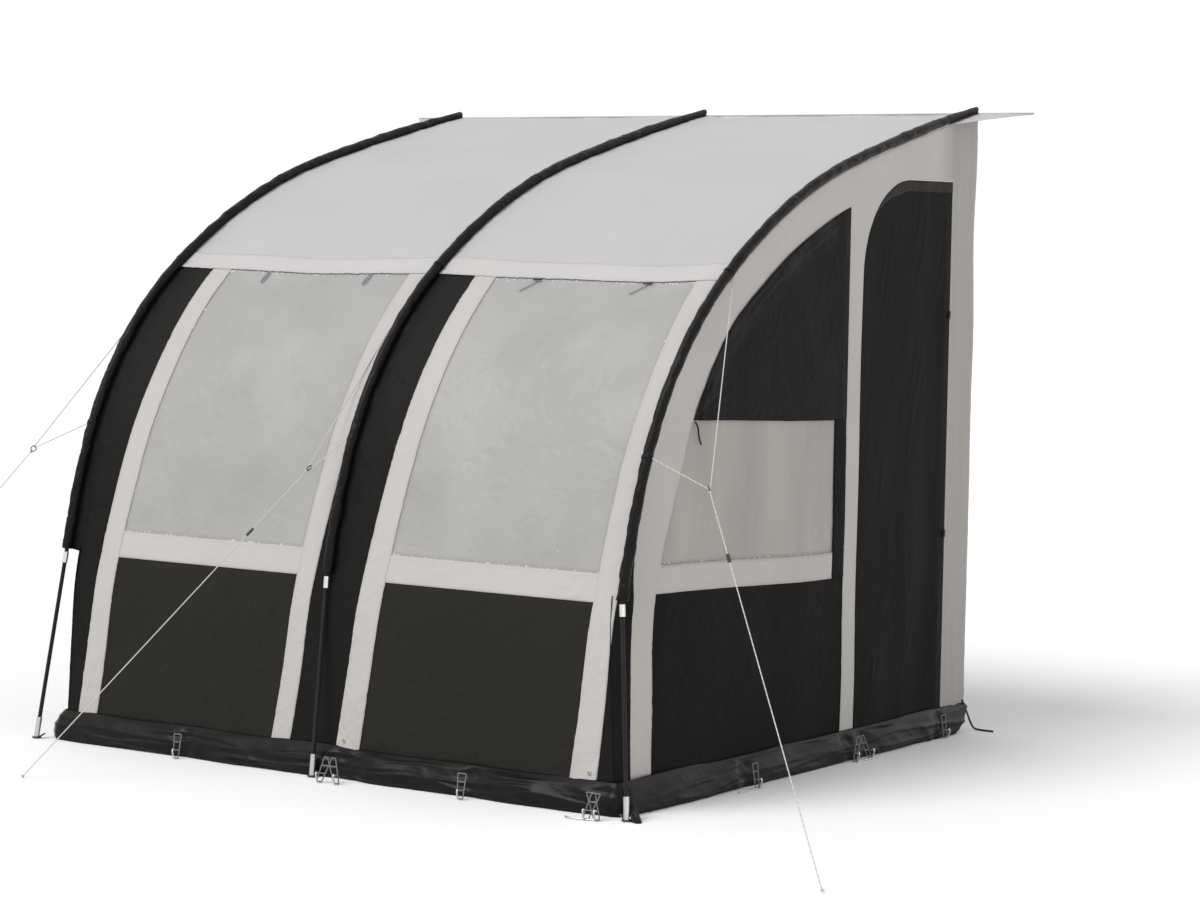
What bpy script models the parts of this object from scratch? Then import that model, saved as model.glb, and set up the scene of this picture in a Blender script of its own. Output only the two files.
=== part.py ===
"""Caravan awning: three curved poles in sleeves, a cloth skin, side walls with doors, skirts and guy lines.

Metres, +Z up. X runs along the rail that the roof hangs from, and Y runs from the front feet to the rail.
"""
import math

import bmesh
import bpy
from mathutils import Matrix, Vector

# Gaps and cloth
GAP = 0.0003
SEAM_GAP = 0.0004
CLOTH = 0.003
FILM_LAP = 0.012

# The arch line, from the ground at the front up and over to the rail: lengths and turns in degrees
WALL_Y = 0.052
LEG_RUN = 0.505
ANKLE_RUN = 0.23
SHIN_RUN = 0.40
KNEE_RUN = 0.91
SHOULDER_RUN = 1.02
ROOF_RUN = 1.02
ANKLE_TURN = 11.0
SHIN_TURN = 7.25
KNEE_TURN = 34.9
SHOULDER_TURN = 21.5
ROOF_TURN = 3.9
STATION_STEP = 0.115

# Poles
BAY_WIDTH = 1.30
POLE_RADIUS = 0.008
SLEEVE_RADIUS = 0.018
SLEEVE_START = 0.745
SLEEVE_REAR_MARGIN = 0.012
FOOT_SPLAY = 0.084
FERRULE_LENGTH = 0.042
FERRULE_DROP = 0.006
FERRULE_RADIUS = 0.0105
FOOT_TUBE_LENGTH = 0.085
FOOT_TUBE_RADIUS = 0.0105
FOOT_TUBE_FLOOR = 0.030
TUBE_SIDES = 8
ROUND_SIDES = 16

# Rear uprights
UPRIGHT_INSET = 0.060
UPRIGHT_RADIUS = 0.0125
UPRIGHT_HEIGHT = 1.30
UPRIGHT_FLOOR = 0.010
UPRIGHT_TOP_RADIUS = 0.0095
UPRIGHT_TOP_WALL = 0.0015
UPRIGHT_OVERLAP = 0.40

# Heights of the bands that run round the walls
WALL_BOTTOM = 0.100
SILL_BOTTOM = 0.727
SILL_HEIGHT = 0.100

# Front wall: the seam's distance along the arch line, and the strips' gaps from the bay's arches
SEAM_RUN = 2.06
STRIP_A_EDGE = 0.180
STRIP_A_WIDTH = 0.095
STRIP_B_GAP = 0.043
STRIP_B_WIDTH = 0.087
STRIP_BOW = 0.035
STRIP_LEAN = 0.105

# Side wall, from the rail forward
COLUMN_WIDTH = 0.200
DOOR_WIDTH = 0.715
DOOR_CORNER_RADIUS = 0.38
DOOR_HEADER = 0.235
POST_WIDTH = 0.098
ARCH_STRIP_LOW = 0.230
ARCH_STRIP_HIGH = 0.165
ARCH_STRIP_LOW_RUN = 1.30
ARCH_STRIP_HIGH_RUN = 2.00
FLAP_BOTTOM = 1.33
FLAP_GAP_SHARE = 0.4
CORNER_STEPS = 8

# Rail edge
BEAD_RADIUS = 0.00375
WING_WIDTH = 0.25
WING_RUN = 0.26
WING_TIP = 0.006

# Skirt: the bulge is how far it stands out of the wall
SKIRT_BULGE = 0.055
SKIRT_HEM = 0.035
SKIRT_OUT_SHARES = (0.0, 0.55, 0.92, 1.0, 0.90)
SKIRT_HEIGHT_SHARES = (1.0, 0.86, 0.56, 0.26, 0.0)
SKIRT_REAR_CUT = 0.16
FOLD_PITCH = 0.26
FOLD_SHARE = 0.22
FOLD_STEPS = 5
MITRE_GAP = 0.0005

# Guy lines
CORD_RADIUS = 0.002
CORD_BEND = 0.009
BEND_STEPS = 12
RING_PLAY = 0.001
CLOTH_STEPS = 12
CLOTH_SIDE_SHARE = 0.76
LINE_STEP = 0.03
RING_RADIUS = 0.011
RING_WIRE = 0.0022
UPPER_TIE_RUN = 2.08
LOWER_TIE_RUN = 1.25
RUNNER_LENGTH = 0.036
RUNNER_WIDTH = 0.012
RUNNER_HEIGHT = 0.009
RUNNER_CLEARANCE = 0.0004
RUNNER_EDGE = 0.0015
RUNNER_DROP = 0.305
GUY_RINGS = {
    "right": (1.552, 0.226, 1.132),
    "middle": (-0.104, 0.060, 1.098),
    "left": (-1.600, 0.190, 1.110),
}
GUY_ENDS = {
    "right": (2.503, -0.598, CORD_RADIUS),
    "middle": (-0.790, -0.682, CORD_RADIUS),
    "left": (-2.200, -0.500, CORD_RADIUS),
}

# Sizes that follow
ARCH_RUNS = (
    (LEG_RUN, 0.0),
    (ANKLE_RUN, ANKLE_TURN),
    (SHIN_RUN, SHIN_TURN),
    (KNEE_RUN, KNEE_TURN),
    (SHOULDER_RUN, SHOULDER_TURN),
    (ROOF_RUN, ROOF_TURN),
)
ARCH_LENGTH = sum(length for length, turn in ARCH_RUNS)
ARCH_X = {"left": -BAY_WIDTH, "middle": 0.0, "right": BAY_WIDTH}
SIDES = {"left": -1, "right": 1}
SKIN_OUT = SLEEVE_RADIUS + GAP
SKIN_IN = SKIN_OUT + CLOTH
SILL_TOP = SILL_BOTTOM + SILL_HEIGHT
STRIP_B_EDGE = BAY_WIDTH - STRIP_B_GAP - STRIP_B_WIDTH
FLAP_GAP = CLOTH * FLAP_GAP_SHARE
SLEEVE_BORE = (POLE_RADIUS + GAP) / math.cos(math.pi / TUBE_SIDES)
ROUND_BORE = (POLE_RADIUS + GAP) / math.cos(math.pi / ROUND_SIDES)

# Colours: base colour, roughness, metallic
CLOTH_ROOF = ((0.64, 0.62, 0.60), 0.75, 0.0)
CLOTH_PALE = ((0.58, 0.55, 0.52), 0.8, 0.0)
CLOTH_BLACK = ((0.022, 0.021, 0.020), 0.7, 0.0)
CLOTH_SLEEVE = ((0.028, 0.027, 0.027), 0.75, 0.0)
FILM_GREY = ((0.46, 0.46, 0.45), 0.25, 0.0)
SKIRT_VINYL = ((0.018, 0.018, 0.018), 0.3, 0.0)
STEEL = ((0.62, 0.62, 0.60), 0.3, 1.0)
ALUMINIUM = ((0.75, 0.75, 0.74), 0.35, 1.0)
GLASS_FIBRE = ((0.03, 0.03, 0.03), 0.45, 0.0)
CORD_WHITE = ((0.75, 0.74, 0.70), 0.7, 0.0)
PLASTIC_BLACK = ((0.03, 0.03, 0.03), 0.4, 0.0)


def clear_scene():
    """Remove whatever the scene holds."""
    for item in list(bpy.data.objects):
        bpy.data.objects.remove(item, do_unlink=True)


def make_collection(name):
    """A new collection in the scene."""
    group = bpy.data.collections.new(name)
    bpy.context.scene.collection.children.link(group)
    return group


def make_material(name, look):
    """A plain material with a base colour, a roughness and a metallic value."""
    colour, roughness, metallic = look
    material = bpy.data.materials.new(name)
    material.use_nodes = True
    shader = material.node_tree.nodes["Principled BSDF"]
    shader.inputs["Base Color"].default_value = (*colour, 1.0)
    shader.inputs["Roughness"].default_value = roughness
    shader.inputs["Metallic"].default_value = metallic
    return material


def add_object(name, data, look, parent):
    """Put a new object in the awning's collection, with its own material."""
    item = bpy.data.objects.new(name, data)
    data.materials.append(make_material(name, look))
    AWNING.objects.link(item)
    item.parent = parent
    return item


def add_empty(name, place, parent):
    """An empty that carries a moving piece on its joint."""
    item = bpy.data.objects.new(name, None)
    item.location = place
    item.empty_display_size = SLEEVE_RADIUS
    item.parent = parent
    AWNING.objects.link(item)
    return item


def finish_mesh(name, shape, look, parent, smooth=False):
    """Turn a bmesh into an object with its faces pointing out."""
    bmesh.ops.recalc_face_normals(shape, faces=shape.faces)
    mesh = bpy.data.meshes.new(name)
    shape.to_mesh(mesh)
    shape.free()
    if smooth:
        mesh.shade_smooth()
        mesh.set_sharp_from_angle(angle=math.radians(40))
    return add_object(name, mesh, look, parent)


def loft(name, rings, look, parent, closed=False, smooth=False):
    """Join a row of rings of points. A closed row runs back to its first ring, an open one gets two caps."""
    shape = bmesh.new()
    rows = [[shape.verts.new(point) for point in ring] for ring in rings]
    size = len(rows[0])
    pairs = list(zip(rows, rows[1:]))
    if closed:
        pairs.append((rows[-1], rows[0]))
    for first, second in pairs:
        for i in range(size):
            j = (i + 1) % size
            shape.faces.new((first[i], first[j], second[j], second[i]))
    if not closed:
        shape.faces.new(rows[0])
        shape.faces.new(rows[-1])
    return finish_mesh(name, shape, look, parent, smooth)


def tube(name, points, radius, look, parent):
    """A round rod or cord along a list of points."""
    curve = bpy.data.curves.new(name, "CURVE")
    curve.dimensions = "3D"
    curve.bevel_depth = radius
    curve.bevel_resolution = 2
    curve.use_fill_caps = True
    spline = curve.splines.new("POLY")
    spline.points.add(len(points) - 1)
    for point, place in zip(spline.points, points):
        point.co = (*place, 1.0)
    return add_object(name, curve, look, parent)


def plate(name, outlines, look, parent, x_middle):
    """A flat cloth in a side wall. The outlines are closed lists of (y, z), the outer one first."""
    curve = bpy.data.curves.new(name, "CURVE")
    curve.dimensions = "2D"
    curve.fill_mode = "BOTH"
    curve.extrude = CLOTH / 2
    for outline in outlines:
        spline = curve.splines.new("POLY")
        spline.points.add(len(outline) - 1)
        for point, (y, z) in zip(spline.points, outline):
            point.co = (y, z, 0.0, 1.0)
        spline.use_cyclic_u = True
    item = add_object(name, curve, look, parent)
    item.rotation_euler = (math.pi / 2, 0.0, math.pi / 2)
    item.location.x = x_middle
    return item


def turned(name, profile, look, parent):
    """A turned piece. The profile is a closed list of (radius, height) round the cut face."""
    shape = bmesh.new()
    points = [shape.verts.new((radius, 0.0, height)) for radius, height in profile]
    for first, second in zip(points, points[1:]):
        shape.edges.new((first, second))
    if profile[0][0] > 0:
        shape.edges.new((points[-1], points[0]))
    mesh = bpy.data.meshes.new(name)
    shape.to_mesh(mesh)
    shape.free()
    item = add_object(name, mesh, look, parent)
    screw = item.modifiers.new("Turn", "SCREW")
    screw.steps = ROUND_SIDES
    screw.render_steps = ROUND_SIDES
    screw.use_merge_vertices = True
    screw.merge_threshold = 0.00001
    screw.use_smooth_shade = True
    return item


def walk_arch(run, inward=0.0):
    """The arch line at a distance from the ground, moved inward: y, z and the lean from upright."""
    y, z, lean = WALL_Y, 0.0, 0.0
    left = run
    for length, turn in ARCH_RUNS:
        step = min(left, length)
        if turn:
            radius = length / math.radians(turn)
            ahead = lean + step / radius
            y += radius * (math.cos(lean) - math.cos(ahead))
            z += radius * (math.sin(ahead) - math.sin(lean))
            lean = ahead
        else:
            y += step * math.sin(lean)
            z += step * math.cos(lean)
        left -= step
        if left <= 0:
            break
    y += left * math.sin(lean)
    z += left * math.cos(lean)
    return y + inward * math.cos(lean), z - inward * math.sin(lean), lean


def find_run(wanted, axis, inward):
    """The distance along the arch at which its y (axis 0) or z (axis 1) has the wanted value."""
    low, high = 0.0, ARCH_LENGTH
    for _ in range(50):
        middle = (low + high) / 2
        y, z, _lean = walk_arch(middle, inward_at(inward, middle))
        if (y, z)[axis] < wanted:
            low = middle
        else:
            high = middle
    return (low + high) / 2


def inward_at(inward, run):
    """An inward distance may be a number or follow the run."""
    return inward(run) if callable(inward) else inward


def make_stations():
    """Distances along the arch at which every piece that follows it has a row of points."""
    stations = [0.0]
    for length, turn in ARCH_RUNS:
        start = stations[-1]
        steps = max(1, round(length / STATION_STEP)) if turn else 1
        stations.extend(start + length * (i + 1) / steps for i in range(steps))
    return stations


def rows_between(first, last, extra=()):
    """The stations from one distance to another, with both ends and any extra ones."""
    inner = [run for run in STATIONS if first + SEAM_GAP < run < last - SEAM_GAP]
    return sorted({first, last, *inner, *extra})


def skin_line(first, last, inward):
    """Points (y, z) of a line that follows the arch from one distance to another."""
    return [walk_arch(run, inward_at(inward, run))[:2] for run in rows_between(first, last)]


def skin_sheet(name, edges, first, last, look, extra=(), keep=None):
    """A cloth that follows the arch. Edges are values of x, or functions of the run, from left to right."""
    shape = bmesh.new()
    rows = rows_between(first, last, extra)
    layers = []
    for inward in (SKIN_OUT, SKIN_IN):
        layer = []
        for run in rows:
            y, z, _lean = walk_arch(run, inward)
            layer.append([shape.verts.new((edge(run), y, z)) for edge in edges])
        layers.append(layer)
    outer, inner = layers
    last_row = len(rows) - 1
    last_column = len(edges) - 1

    def kept(i, j):
        inside = 0 <= i < last_row and 0 <= j < last_column
        return inside and (keep is None or keep((rows[i] + rows[i + 1]) / 2, j))

    for i in range(last_row):
        for j in range(last_column):
            if not kept(i, j):
                continue
            corners = ((i, j), (i, j + 1), (i + 1, j + 1), (i + 1, j))
            shape.faces.new([outer[a][b] for a, b in corners])
            shape.faces.new([inner[a][b] for a, b in reversed(corners)])
            beyond = ((i - 1, j), (i, j + 1), (i + 1, j), (i, j - 1))
            for side in range(4):
                if not kept(*beyond[side]):
                    (a, b), (c, d) = corners[side], corners[(side + 1) % 4]
                    shape.faces.new((outer[c][d], outer[a][b], inner[a][b], inner[c][d]))
    for point in [vertex for vertex in shape.verts if not vertex.link_faces]:
        shape.verts.remove(point)
    return finish_mesh(name, shape, look, ROOT)


def fixed(x):
    """An edge at one x."""
    return lambda run: x


def strip_edge(bay_x, offset, nudge=0.0):
    """An edge of a front strip: it bows out a little and leans to the left towards the ground."""
    top = SEAM_RUN
    bottom = find_run(WALL_BOTTOM, 1, SKIN_OUT)

    def edge(run):
        share = (top - run) / (top - bottom)
        return bay_x + offset + STRIP_BOW * 4 * share * (1 - share) - STRIP_LEAN * share**2 + nudge

    return edge


# The arches


def arch_frame(run):
    """The place and the two cross directions of the arch line at a distance."""
    y, z, lean = walk_arch(run)
    return Vector((0.0, y, z)), Vector((1.0, 0.0, 0.0)), Vector((0.0, math.cos(lean), -math.sin(lean)))


def ring_on_arch(x, run, radius, sides):
    """A ring of points round the arch line."""
    centre, across, inward = arch_frame(run)
    centre = centre + Vector((x, 0.0, 0.0))
    turn = 2 * math.pi / sides
    angles = [turn * i for i in range(sides)]
    return [centre + radius * (math.cos(angle) * across + math.sin(angle) * inward) for angle in angles]


def leg_line(name):
    """The straight leg of an arch: its foot on the ground, its top at the sleeve, and the direction up."""
    x = ARCH_X[name]
    y, z, _lean = walk_arch(SLEEVE_START - FERRULE_DROP)
    splay = math.copysign(FOOT_SPLAY, x) if x else 0.0
    foot = Vector((x + splay, 0.0, 0.0))
    top = Vector((x, y, z))
    return foot, top, (top - foot).normalized()


def stand_on_leg(item, name):
    """Turn an upright piece so that it stands on the foot, along the leg."""
    foot, _top, up = leg_line(name)
    item.rotation_euler = up.to_track_quat("Z", "Y").to_euler()
    item.location = foot


def make_arch(name):
    """One arch: glass-fibre pole in its sleeve, ferrule, lower pole and steel end tube."""
    x = ARCH_X[name]
    foot, top, up = leg_line(name)
    last = ARCH_LENGTH - SLEEVE_REAR_MARGIN
    ferrule_middle = (top - foot).length - FERRULE_DROP - FERRULE_LENGTH / 2

    rows = rows_between(SLEEVE_START, last)
    outer = [ring_on_arch(x, run, SLEEVE_RADIUS, TUBE_SIDES) for run in rows]
    bore = [ring_on_arch(x, run, SLEEVE_BORE, TUBE_SIDES) for run in reversed(rows)]
    loft(f"pole_sleeve_{name}", outer + bore, CLOTH_SLEEVE, ROOT, closed=True, smooth=True)

    path = [foot + up * (ferrule_middle + GAP / 2), top]
    path += [arch_frame(run)[0] + Vector((x, 0.0, 0.0)) for run in rows]
    tube(f"arch_pole_{name}", path, POLE_RADIUS, GLASS_FIBRE, ROOT)

    half = FERRULE_LENGTH / 2
    profile = [
        (FERRULE_RADIUS, ferrule_middle + half),
        (FERRULE_RADIUS, ferrule_middle - half),
        (ROUND_BORE, ferrule_middle - half),
        (ROUND_BORE, ferrule_middle + half),
    ]
    stand_on_leg(turned(f"ferrule_{name}", profile, ALUMINIUM, ROOT), name)

    pole_foot = foot + up * (FOOT_TUBE_FLOOR + GAP)
    pole_top = foot + up * (ferrule_middle - GAP / 2)
    tube(f"lower_pole_{name}", [pole_foot, pole_top], POLE_RADIUS, GLASS_FIBRE, ROOT)

    profile = [
        (0.0, -FOOT_TUBE_RADIUS),
        (FOOT_TUBE_RADIUS, -FOOT_TUBE_RADIUS),
        (FOOT_TUBE_RADIUS, FOOT_TUBE_LENGTH),
        (ROUND_BORE, FOOT_TUBE_LENGTH),
        (ROUND_BORE, FOOT_TUBE_FLOOR),
        (0.0, FOOT_TUBE_FLOOR),
    ]
    end_tube = turned(f"foot_tube_{name}", profile[::-1], STEEL, ROOT)
    stand_on_leg(end_tube, name)
    cut = end_tube.modifiers.new("Ground", "BOOLEAN")
    cut.operation = "DIFFERENCE"
    cut.solver = "EXACT"
    cut.object = ground_cutter(name, foot)


def ground_cutter(name, foot):
    """A box below the ground that cuts an end tube flat."""
    size = FOOT_TUBE_RADIUS * 4
    shape = bmesh.new()
    bmesh.ops.create_cube(shape, size=size)
    mesh = bpy.data.meshes.new(f"ground_cutter_{name}")
    shape.to_mesh(mesh)
    shape.free()
    item = bpy.data.objects.new(mesh.name, mesh)
    item.location = (foot.x, foot.y, -size / 2)
    item.parent = ROOT
    item.hide_render = True
    item.display_type = "WIRE"
    CUTTERS.objects.link(item)
    return item


# The skin: roof and front wall


def make_roof():
    """Two roof bays, the bead along the rail edge and the cloth wings beyond the side walls."""
    first = SEAM_RUN + SEAM_GAP / 2
    half = SEAM_GAP / 2
    skin_sheet("roof_left", [fixed(-BAY_WIDTH), fixed(-half)], first, ARCH_LENGTH, CLOTH_ROOF)
    skin_sheet("roof_right", [fixed(half), fixed(BAY_WIDTH)], first, ARCH_LENGTH, CLOTH_ROOF)
    middle = (SKIN_OUT + SKIN_IN) / 2
    y, z, lean = walk_arch(ARCH_LENGTH, middle)
    beyond = BEAD_RADIUS + GAP
    place = Vector((0.0, y + beyond * math.sin(lean), z + beyond * math.cos(lean)))
    reach = Vector((BAY_WIDTH + WING_WIDTH, 0.0, 0.0))
    tube("keder_bead", [place - reach, place + reach], BEAD_RADIUS, CLOTH_ROOF, ROOT)
    for side, sign in SIDES.items():
        inner = BAY_WIDTH + SEAM_GAP
        start = ARCH_LENGTH - WING_RUN

        def outer(run):
            share = (run - start) / WING_RUN
            return inner + WING_TIP + (WING_WIDTH - WING_TIP - SEAM_GAP) * share

        edges = [fixed(sign * inner), lambda run: sign * outer(run)]
        if sign < 0:
            edges.reverse()
        skin_sheet(f"roof_wing_{side}", edges, start, ARCH_LENGTH, CLOTH_ROOF)


def make_front():
    """The front wall of both bays: pale frames, grey windows, black lower panels and black bands."""
    bottom = find_run(WALL_BOTTOM, 1, SKIN_OUT)
    top = SEAM_RUN - SEAM_GAP / 2
    sill_low = find_run(SILL_BOTTOM, 1, SKIN_OUT)
    sill_high = find_run(SILL_TOP, 1, SKIN_OUT)
    half = SEAM_GAP / 2
    bays = {"left": -BAY_WIDTH, "right": 0.0}
    a_right = STRIP_A_EDGE + STRIP_A_WIDTH
    b_right = STRIP_B_EDGE + STRIP_B_WIDTH
    for side, x in bays.items():
        edges = [
            strip_edge(x, STRIP_A_EDGE, half),
            strip_edge(x, a_right, -half),
            strip_edge(x, STRIP_B_EDGE, half),
            strip_edge(x, b_right, -half),
        ]

        def in_frame(run, column):
            return column != 1 or sill_low < run < sill_high

        skin_sheet(f"front_frame_{side}", edges, bottom, top, CLOTH_PALE, (sill_low, sill_high), in_frame)
        inner = [strip_edge(x, a_right, half), strip_edge(x, STRIP_B_EDGE, -half)]
        skin_sheet(f"front_window_{side}", inner, sill_high + SEAM_GAP, top, FILM_GREY)
        skin_sheet(f"front_panel_{side}", inner, bottom, sill_low - SEAM_GAP, CLOTH_BLACK)
    bands = {
        "left": (fixed(-BAY_WIDTH), strip_edge(-BAY_WIDTH, STRIP_A_EDGE, -half)),
        "middle": (strip_edge(-BAY_WIDTH, b_right, half), strip_edge(0.0, STRIP_A_EDGE, -half)),
        "right": (strip_edge(0.0, b_right, half), fixed(BAY_WIDTH)),
    }
    for side, edges in bands.items():
        skin_sheet(f"front_band_{side}", list(edges), bottom, top, CLOTH_BLACK)


# The side walls


def arch_strip(run):
    """How far the pale strip of the side wall reaches inward of the arch line."""
    span = ARCH_STRIP_HIGH_RUN - ARCH_STRIP_LOW_RUN
    share = min(1.0, max(0.0, (run - ARCH_STRIP_LOW_RUN) / span))
    return ARCH_STRIP_LOW + (ARCH_STRIP_HIGH - ARCH_STRIP_LOW) * share


def side_places():
    """The y places of the side wall's uprights and the door's top."""
    rear = walk_arch(ARCH_LENGTH, SKIN_IN)[0]
    door_rear = rear - COLUMN_WIDTH
    door_front = door_rear - DOOR_WIDTH
    window_rear = door_front - POST_WIDTH
    under_roof = walk_arch(find_run(door_rear, 0, SKIN_IN), SKIN_IN)[1]
    return rear, door_rear, door_front, window_rear, under_roof - DOOR_HEADER


def point_at(points, axis, value):
    """The point of a rising line at which y (axis 0) or z (axis 1) has a value."""
    for first, second in zip(points, points[1:]):
        if first[axis] <= value <= second[axis] and first[axis] < second[axis]:
            share = (value - first[axis]) / (second[axis] - first[axis])
            return tuple(a + (b - a) * share for a, b in zip(first, second))
    return points[-1]


def strip_line(low, rear, margin):
    """Points of the pale strip's inner edge between a height and a place y, moved out by a margin."""
    points = [walk_arch(run, arch_strip(run) - margin)[:2] for run in STATIONS]
    first = point_at(points, 1, low)
    last = point_at(points, 0, rear)
    return [first, *[point for point in points if first[1] < point[1] < last[1]], last]


def window_outline(low, margin):
    """The outline of the window opening from a height up, moved out by a margin."""
    window_rear = side_places()[3] + margin
    line = strip_line(low - margin, window_rear, margin)
    return line + [(window_rear, low - margin)]


def door_outline(bottom, margin):
    """The outline of the doorway, moved out by a margin: up the front, over the top, down the rear."""
    _rear, door_rear, door_front, _window_rear, top = side_places()
    front = door_front - margin
    high = top + margin
    radius = DOOR_CORNER_RADIUS + margin
    points = [(front, bottom)]
    for i in range(CORNER_STEPS + 1):
        angle = math.pi / 2 * i / CORNER_STEPS
        points.append((front + radius * (1 - math.cos(angle)), high - radius * (1 - math.sin(angle))))
    points.append((door_rear + margin, high))
    points.append((door_rear + margin, bottom))
    return points


def frame_outline():
    """The pale frame of a side wall: strip along the arch, sill, post, top and rear column."""
    rear, _door_rear, door_front, window_rear, _top = side_places()
    under = SKIN_IN + GAP
    front_line = skin_line(find_run(WALL_BOTTOM, 1, under), find_run(rear, 0, under), under)
    line = strip_line(WALL_BOTTOM, window_rear, 0.0)
    sill = point_at(line, 1, SILL_BOTTOM)
    outline = [point for point in line if point[1] < sill[1]] + [sill]
    outline += [(window_rear, SILL_BOTTOM), (window_rear, WALL_BOTTOM)]
    outline += door_outline(WALL_BOTTOM, 0.0)
    outline += [(rear, WALL_BOTTOM)]
    outline += front_line[::-1]
    return outline


def make_side(side, sign):
    """One side wall: pale frame, window film, cover flap, lower panel and door."""
    middle = BAY_WIDTH - CLOTH / 2
    _rear, door_rear, _door_front, window_rear, _top = side_places()
    hole = window_outline(SILL_TOP, 0.0)
    plate(f"side_frame_{side}", [frame_outline(), hole], CLOTH_PALE, ROOT, sign * middle)

    film = window_outline(SILL_TOP, FILM_LAP)
    plate(f"side_window_{side}", [film], FILM_GREY, ROOT, sign * (middle - CLOTH - GAP))

    line = strip_line(WALL_BOTTOM, window_rear, -SEAM_GAP)
    low = point_at(line, 1, SILL_BOTTOM - SEAM_GAP)
    panel = [point for point in line if point[1] < low[1]] + [low]
    panel += [(window_rear - SEAM_GAP, low[1]), (window_rear - SEAM_GAP, WALL_BOTTOM)]
    plate(f"side_panel_{side}", [panel], CLOTH_BLACK, ROOT, sign * middle)

    flap_axis = add_empty(f"flap_axis_{side}", (sign * BAY_WIDTH, window_rear, FLAP_BOTTOM), ROOT)
    outline = window_outline(FLAP_BOTTOM, -FLAP_GAP)
    outline = [(y - window_rear, z - FLAP_BOTTOM) for y, z in outline]
    plate(f"side_flap_{side}", [outline], CLOTH_BLACK, flap_axis, -sign * CLOTH / 2)

    door_axis = add_empty(f"door_axis_{side}", (sign * BAY_WIDTH, door_rear, WALL_BOTTOM), ROOT)
    outline = door_outline(WALL_BOTTOM + SEAM_GAP, -SEAM_GAP)
    outline = [(y - door_rear, z - WALL_BOTTOM) for y, z in outline]
    plate(f"door_{side}", [outline], CLOTH_BLACK, door_axis, -sign * CLOTH / 2)


# The rear uprights


def make_upright(side, sign):
    """A telescopic pole in the rear column: a lower tube on the ground and an upper one under the roof."""
    x = sign * (BAY_WIDTH - CLOTH - GAP - UPRIGHT_RADIUS)
    rear = side_places()[0]
    y = rear - UPRIGHT_INSET
    bore = (UPRIGHT_TOP_RADIUS + GAP) / math.cos(math.pi / ROUND_SIDES)
    profile = [
        (0.0, UPRIGHT_FLOOR),
        (bore, UPRIGHT_FLOOR),
        (bore, UPRIGHT_HEIGHT),
        (UPRIGHT_RADIUS, UPRIGHT_HEIGHT),
        (UPRIGHT_RADIUS, 0.0),
        (0.0, 0.0),
    ]
    lower = turned(f"upright_lower_{side}", profile, ALUMINIUM, ROOT)
    lower.location = (x, y, 0.0)

    run = find_run(y - UPRIGHT_TOP_RADIUS, 0, SKIN_IN + GAP)
    top = walk_arch(run, SKIN_IN + GAP)[1]
    start = UPRIGHT_HEIGHT - UPRIGHT_OVERLAP
    length = top - start
    inner = UPRIGHT_TOP_RADIUS - UPRIGHT_TOP_WALL
    profile = [
        (0.0, length),
        (UPRIGHT_TOP_RADIUS, length),
        (UPRIGHT_TOP_RADIUS, 0.0),
        (inner, 0.0),
        (inner, length - UPRIGHT_TOP_WALL),
        (0.0, length - UPRIGHT_TOP_WALL),
    ]
    axis = add_empty(f"upright_axis_{side}", (x, y, start), ROOT)
    turned(f"upright_upper_{side}", profile, ALUMINIUM, axis)


# The skirts


def offset_line(points, distance):
    """A line of (out, up) points moved sideways, with mitred corners."""
    moved = []
    for i, (u, v) in enumerate(points):
        before = points[max(i - 1, 0)]
        after = points[min(i + 1, len(points) - 1)]
        first = Vector((u - before[0], v - before[1])) if i else None
        second = Vector((after[0] - u, after[1] - v)) if i < len(points) - 1 else None
        first = (first or second).normalized()
        second = (second or first).normalized()
        normal = Vector((-first.y - second.y, first.x + second.x)).normalized()
        scale = normal.dot(Vector((-first.y, first.x)))
        moved.append((u + normal.x * distance / scale, v + normal.y * distance / scale))
    return moved


def skirt_section(along):
    """The closed section of the skirt at a place along its length, as (out, up) points."""
    wave = (1 - math.cos(2 * math.pi * along / FOLD_PITCH)) / 2
    bulge = SKIRT_BULGE * (1 - FOLD_SHARE * wave)
    height = WALL_BOTTOM - GAP
    foot = CLOTH / 2
    line = [
        (bulge * out, foot + (height - foot) * up)
        for out, up in zip(SKIRT_OUT_SHARES, SKIRT_HEIGHT_SHARES)
    ]
    line.append((line[-1][0] - SKIRT_HEM, foot))
    outer = offset_line(line, foot)
    inner = offset_line(line, -foot)
    return [(u, min(v, height)) for u, v in outer + inner[::-1]]


def fold_count(length):
    """How many columns of points a skirt of a length has."""
    return max(2, round(length / FOLD_PITCH)) * FOLD_STEPS


def make_front_skirt(side, sign):
    """Half of the front skirt, from the middle to a mitred corner."""
    y, _z, _lean = walk_arch(find_run(WALL_BOTTOM, 1, SKIN_OUT), SKIN_OUT)
    wall = y + CLOTH / 2
    inner = SEAM_GAP / 2
    columns = fold_count(BAY_WIDTH)
    rings = []
    for i in range(columns + 1):
        share = i / columns
        ring = []
        for out, up in skirt_section(share * BAY_WIDTH):
            corner = BAY_WIDTH - CLOTH / 2 - MITRE_GAP + (out if i == columns else 0.0)
            reach = inner + (corner - inner) * share
            ring.append((sign * reach, wall - out, up))
        rings.append(ring)
    loft(f"front_skirt_{side}", rings, SKIRT_VINYL, ROOT, smooth=True)


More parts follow.
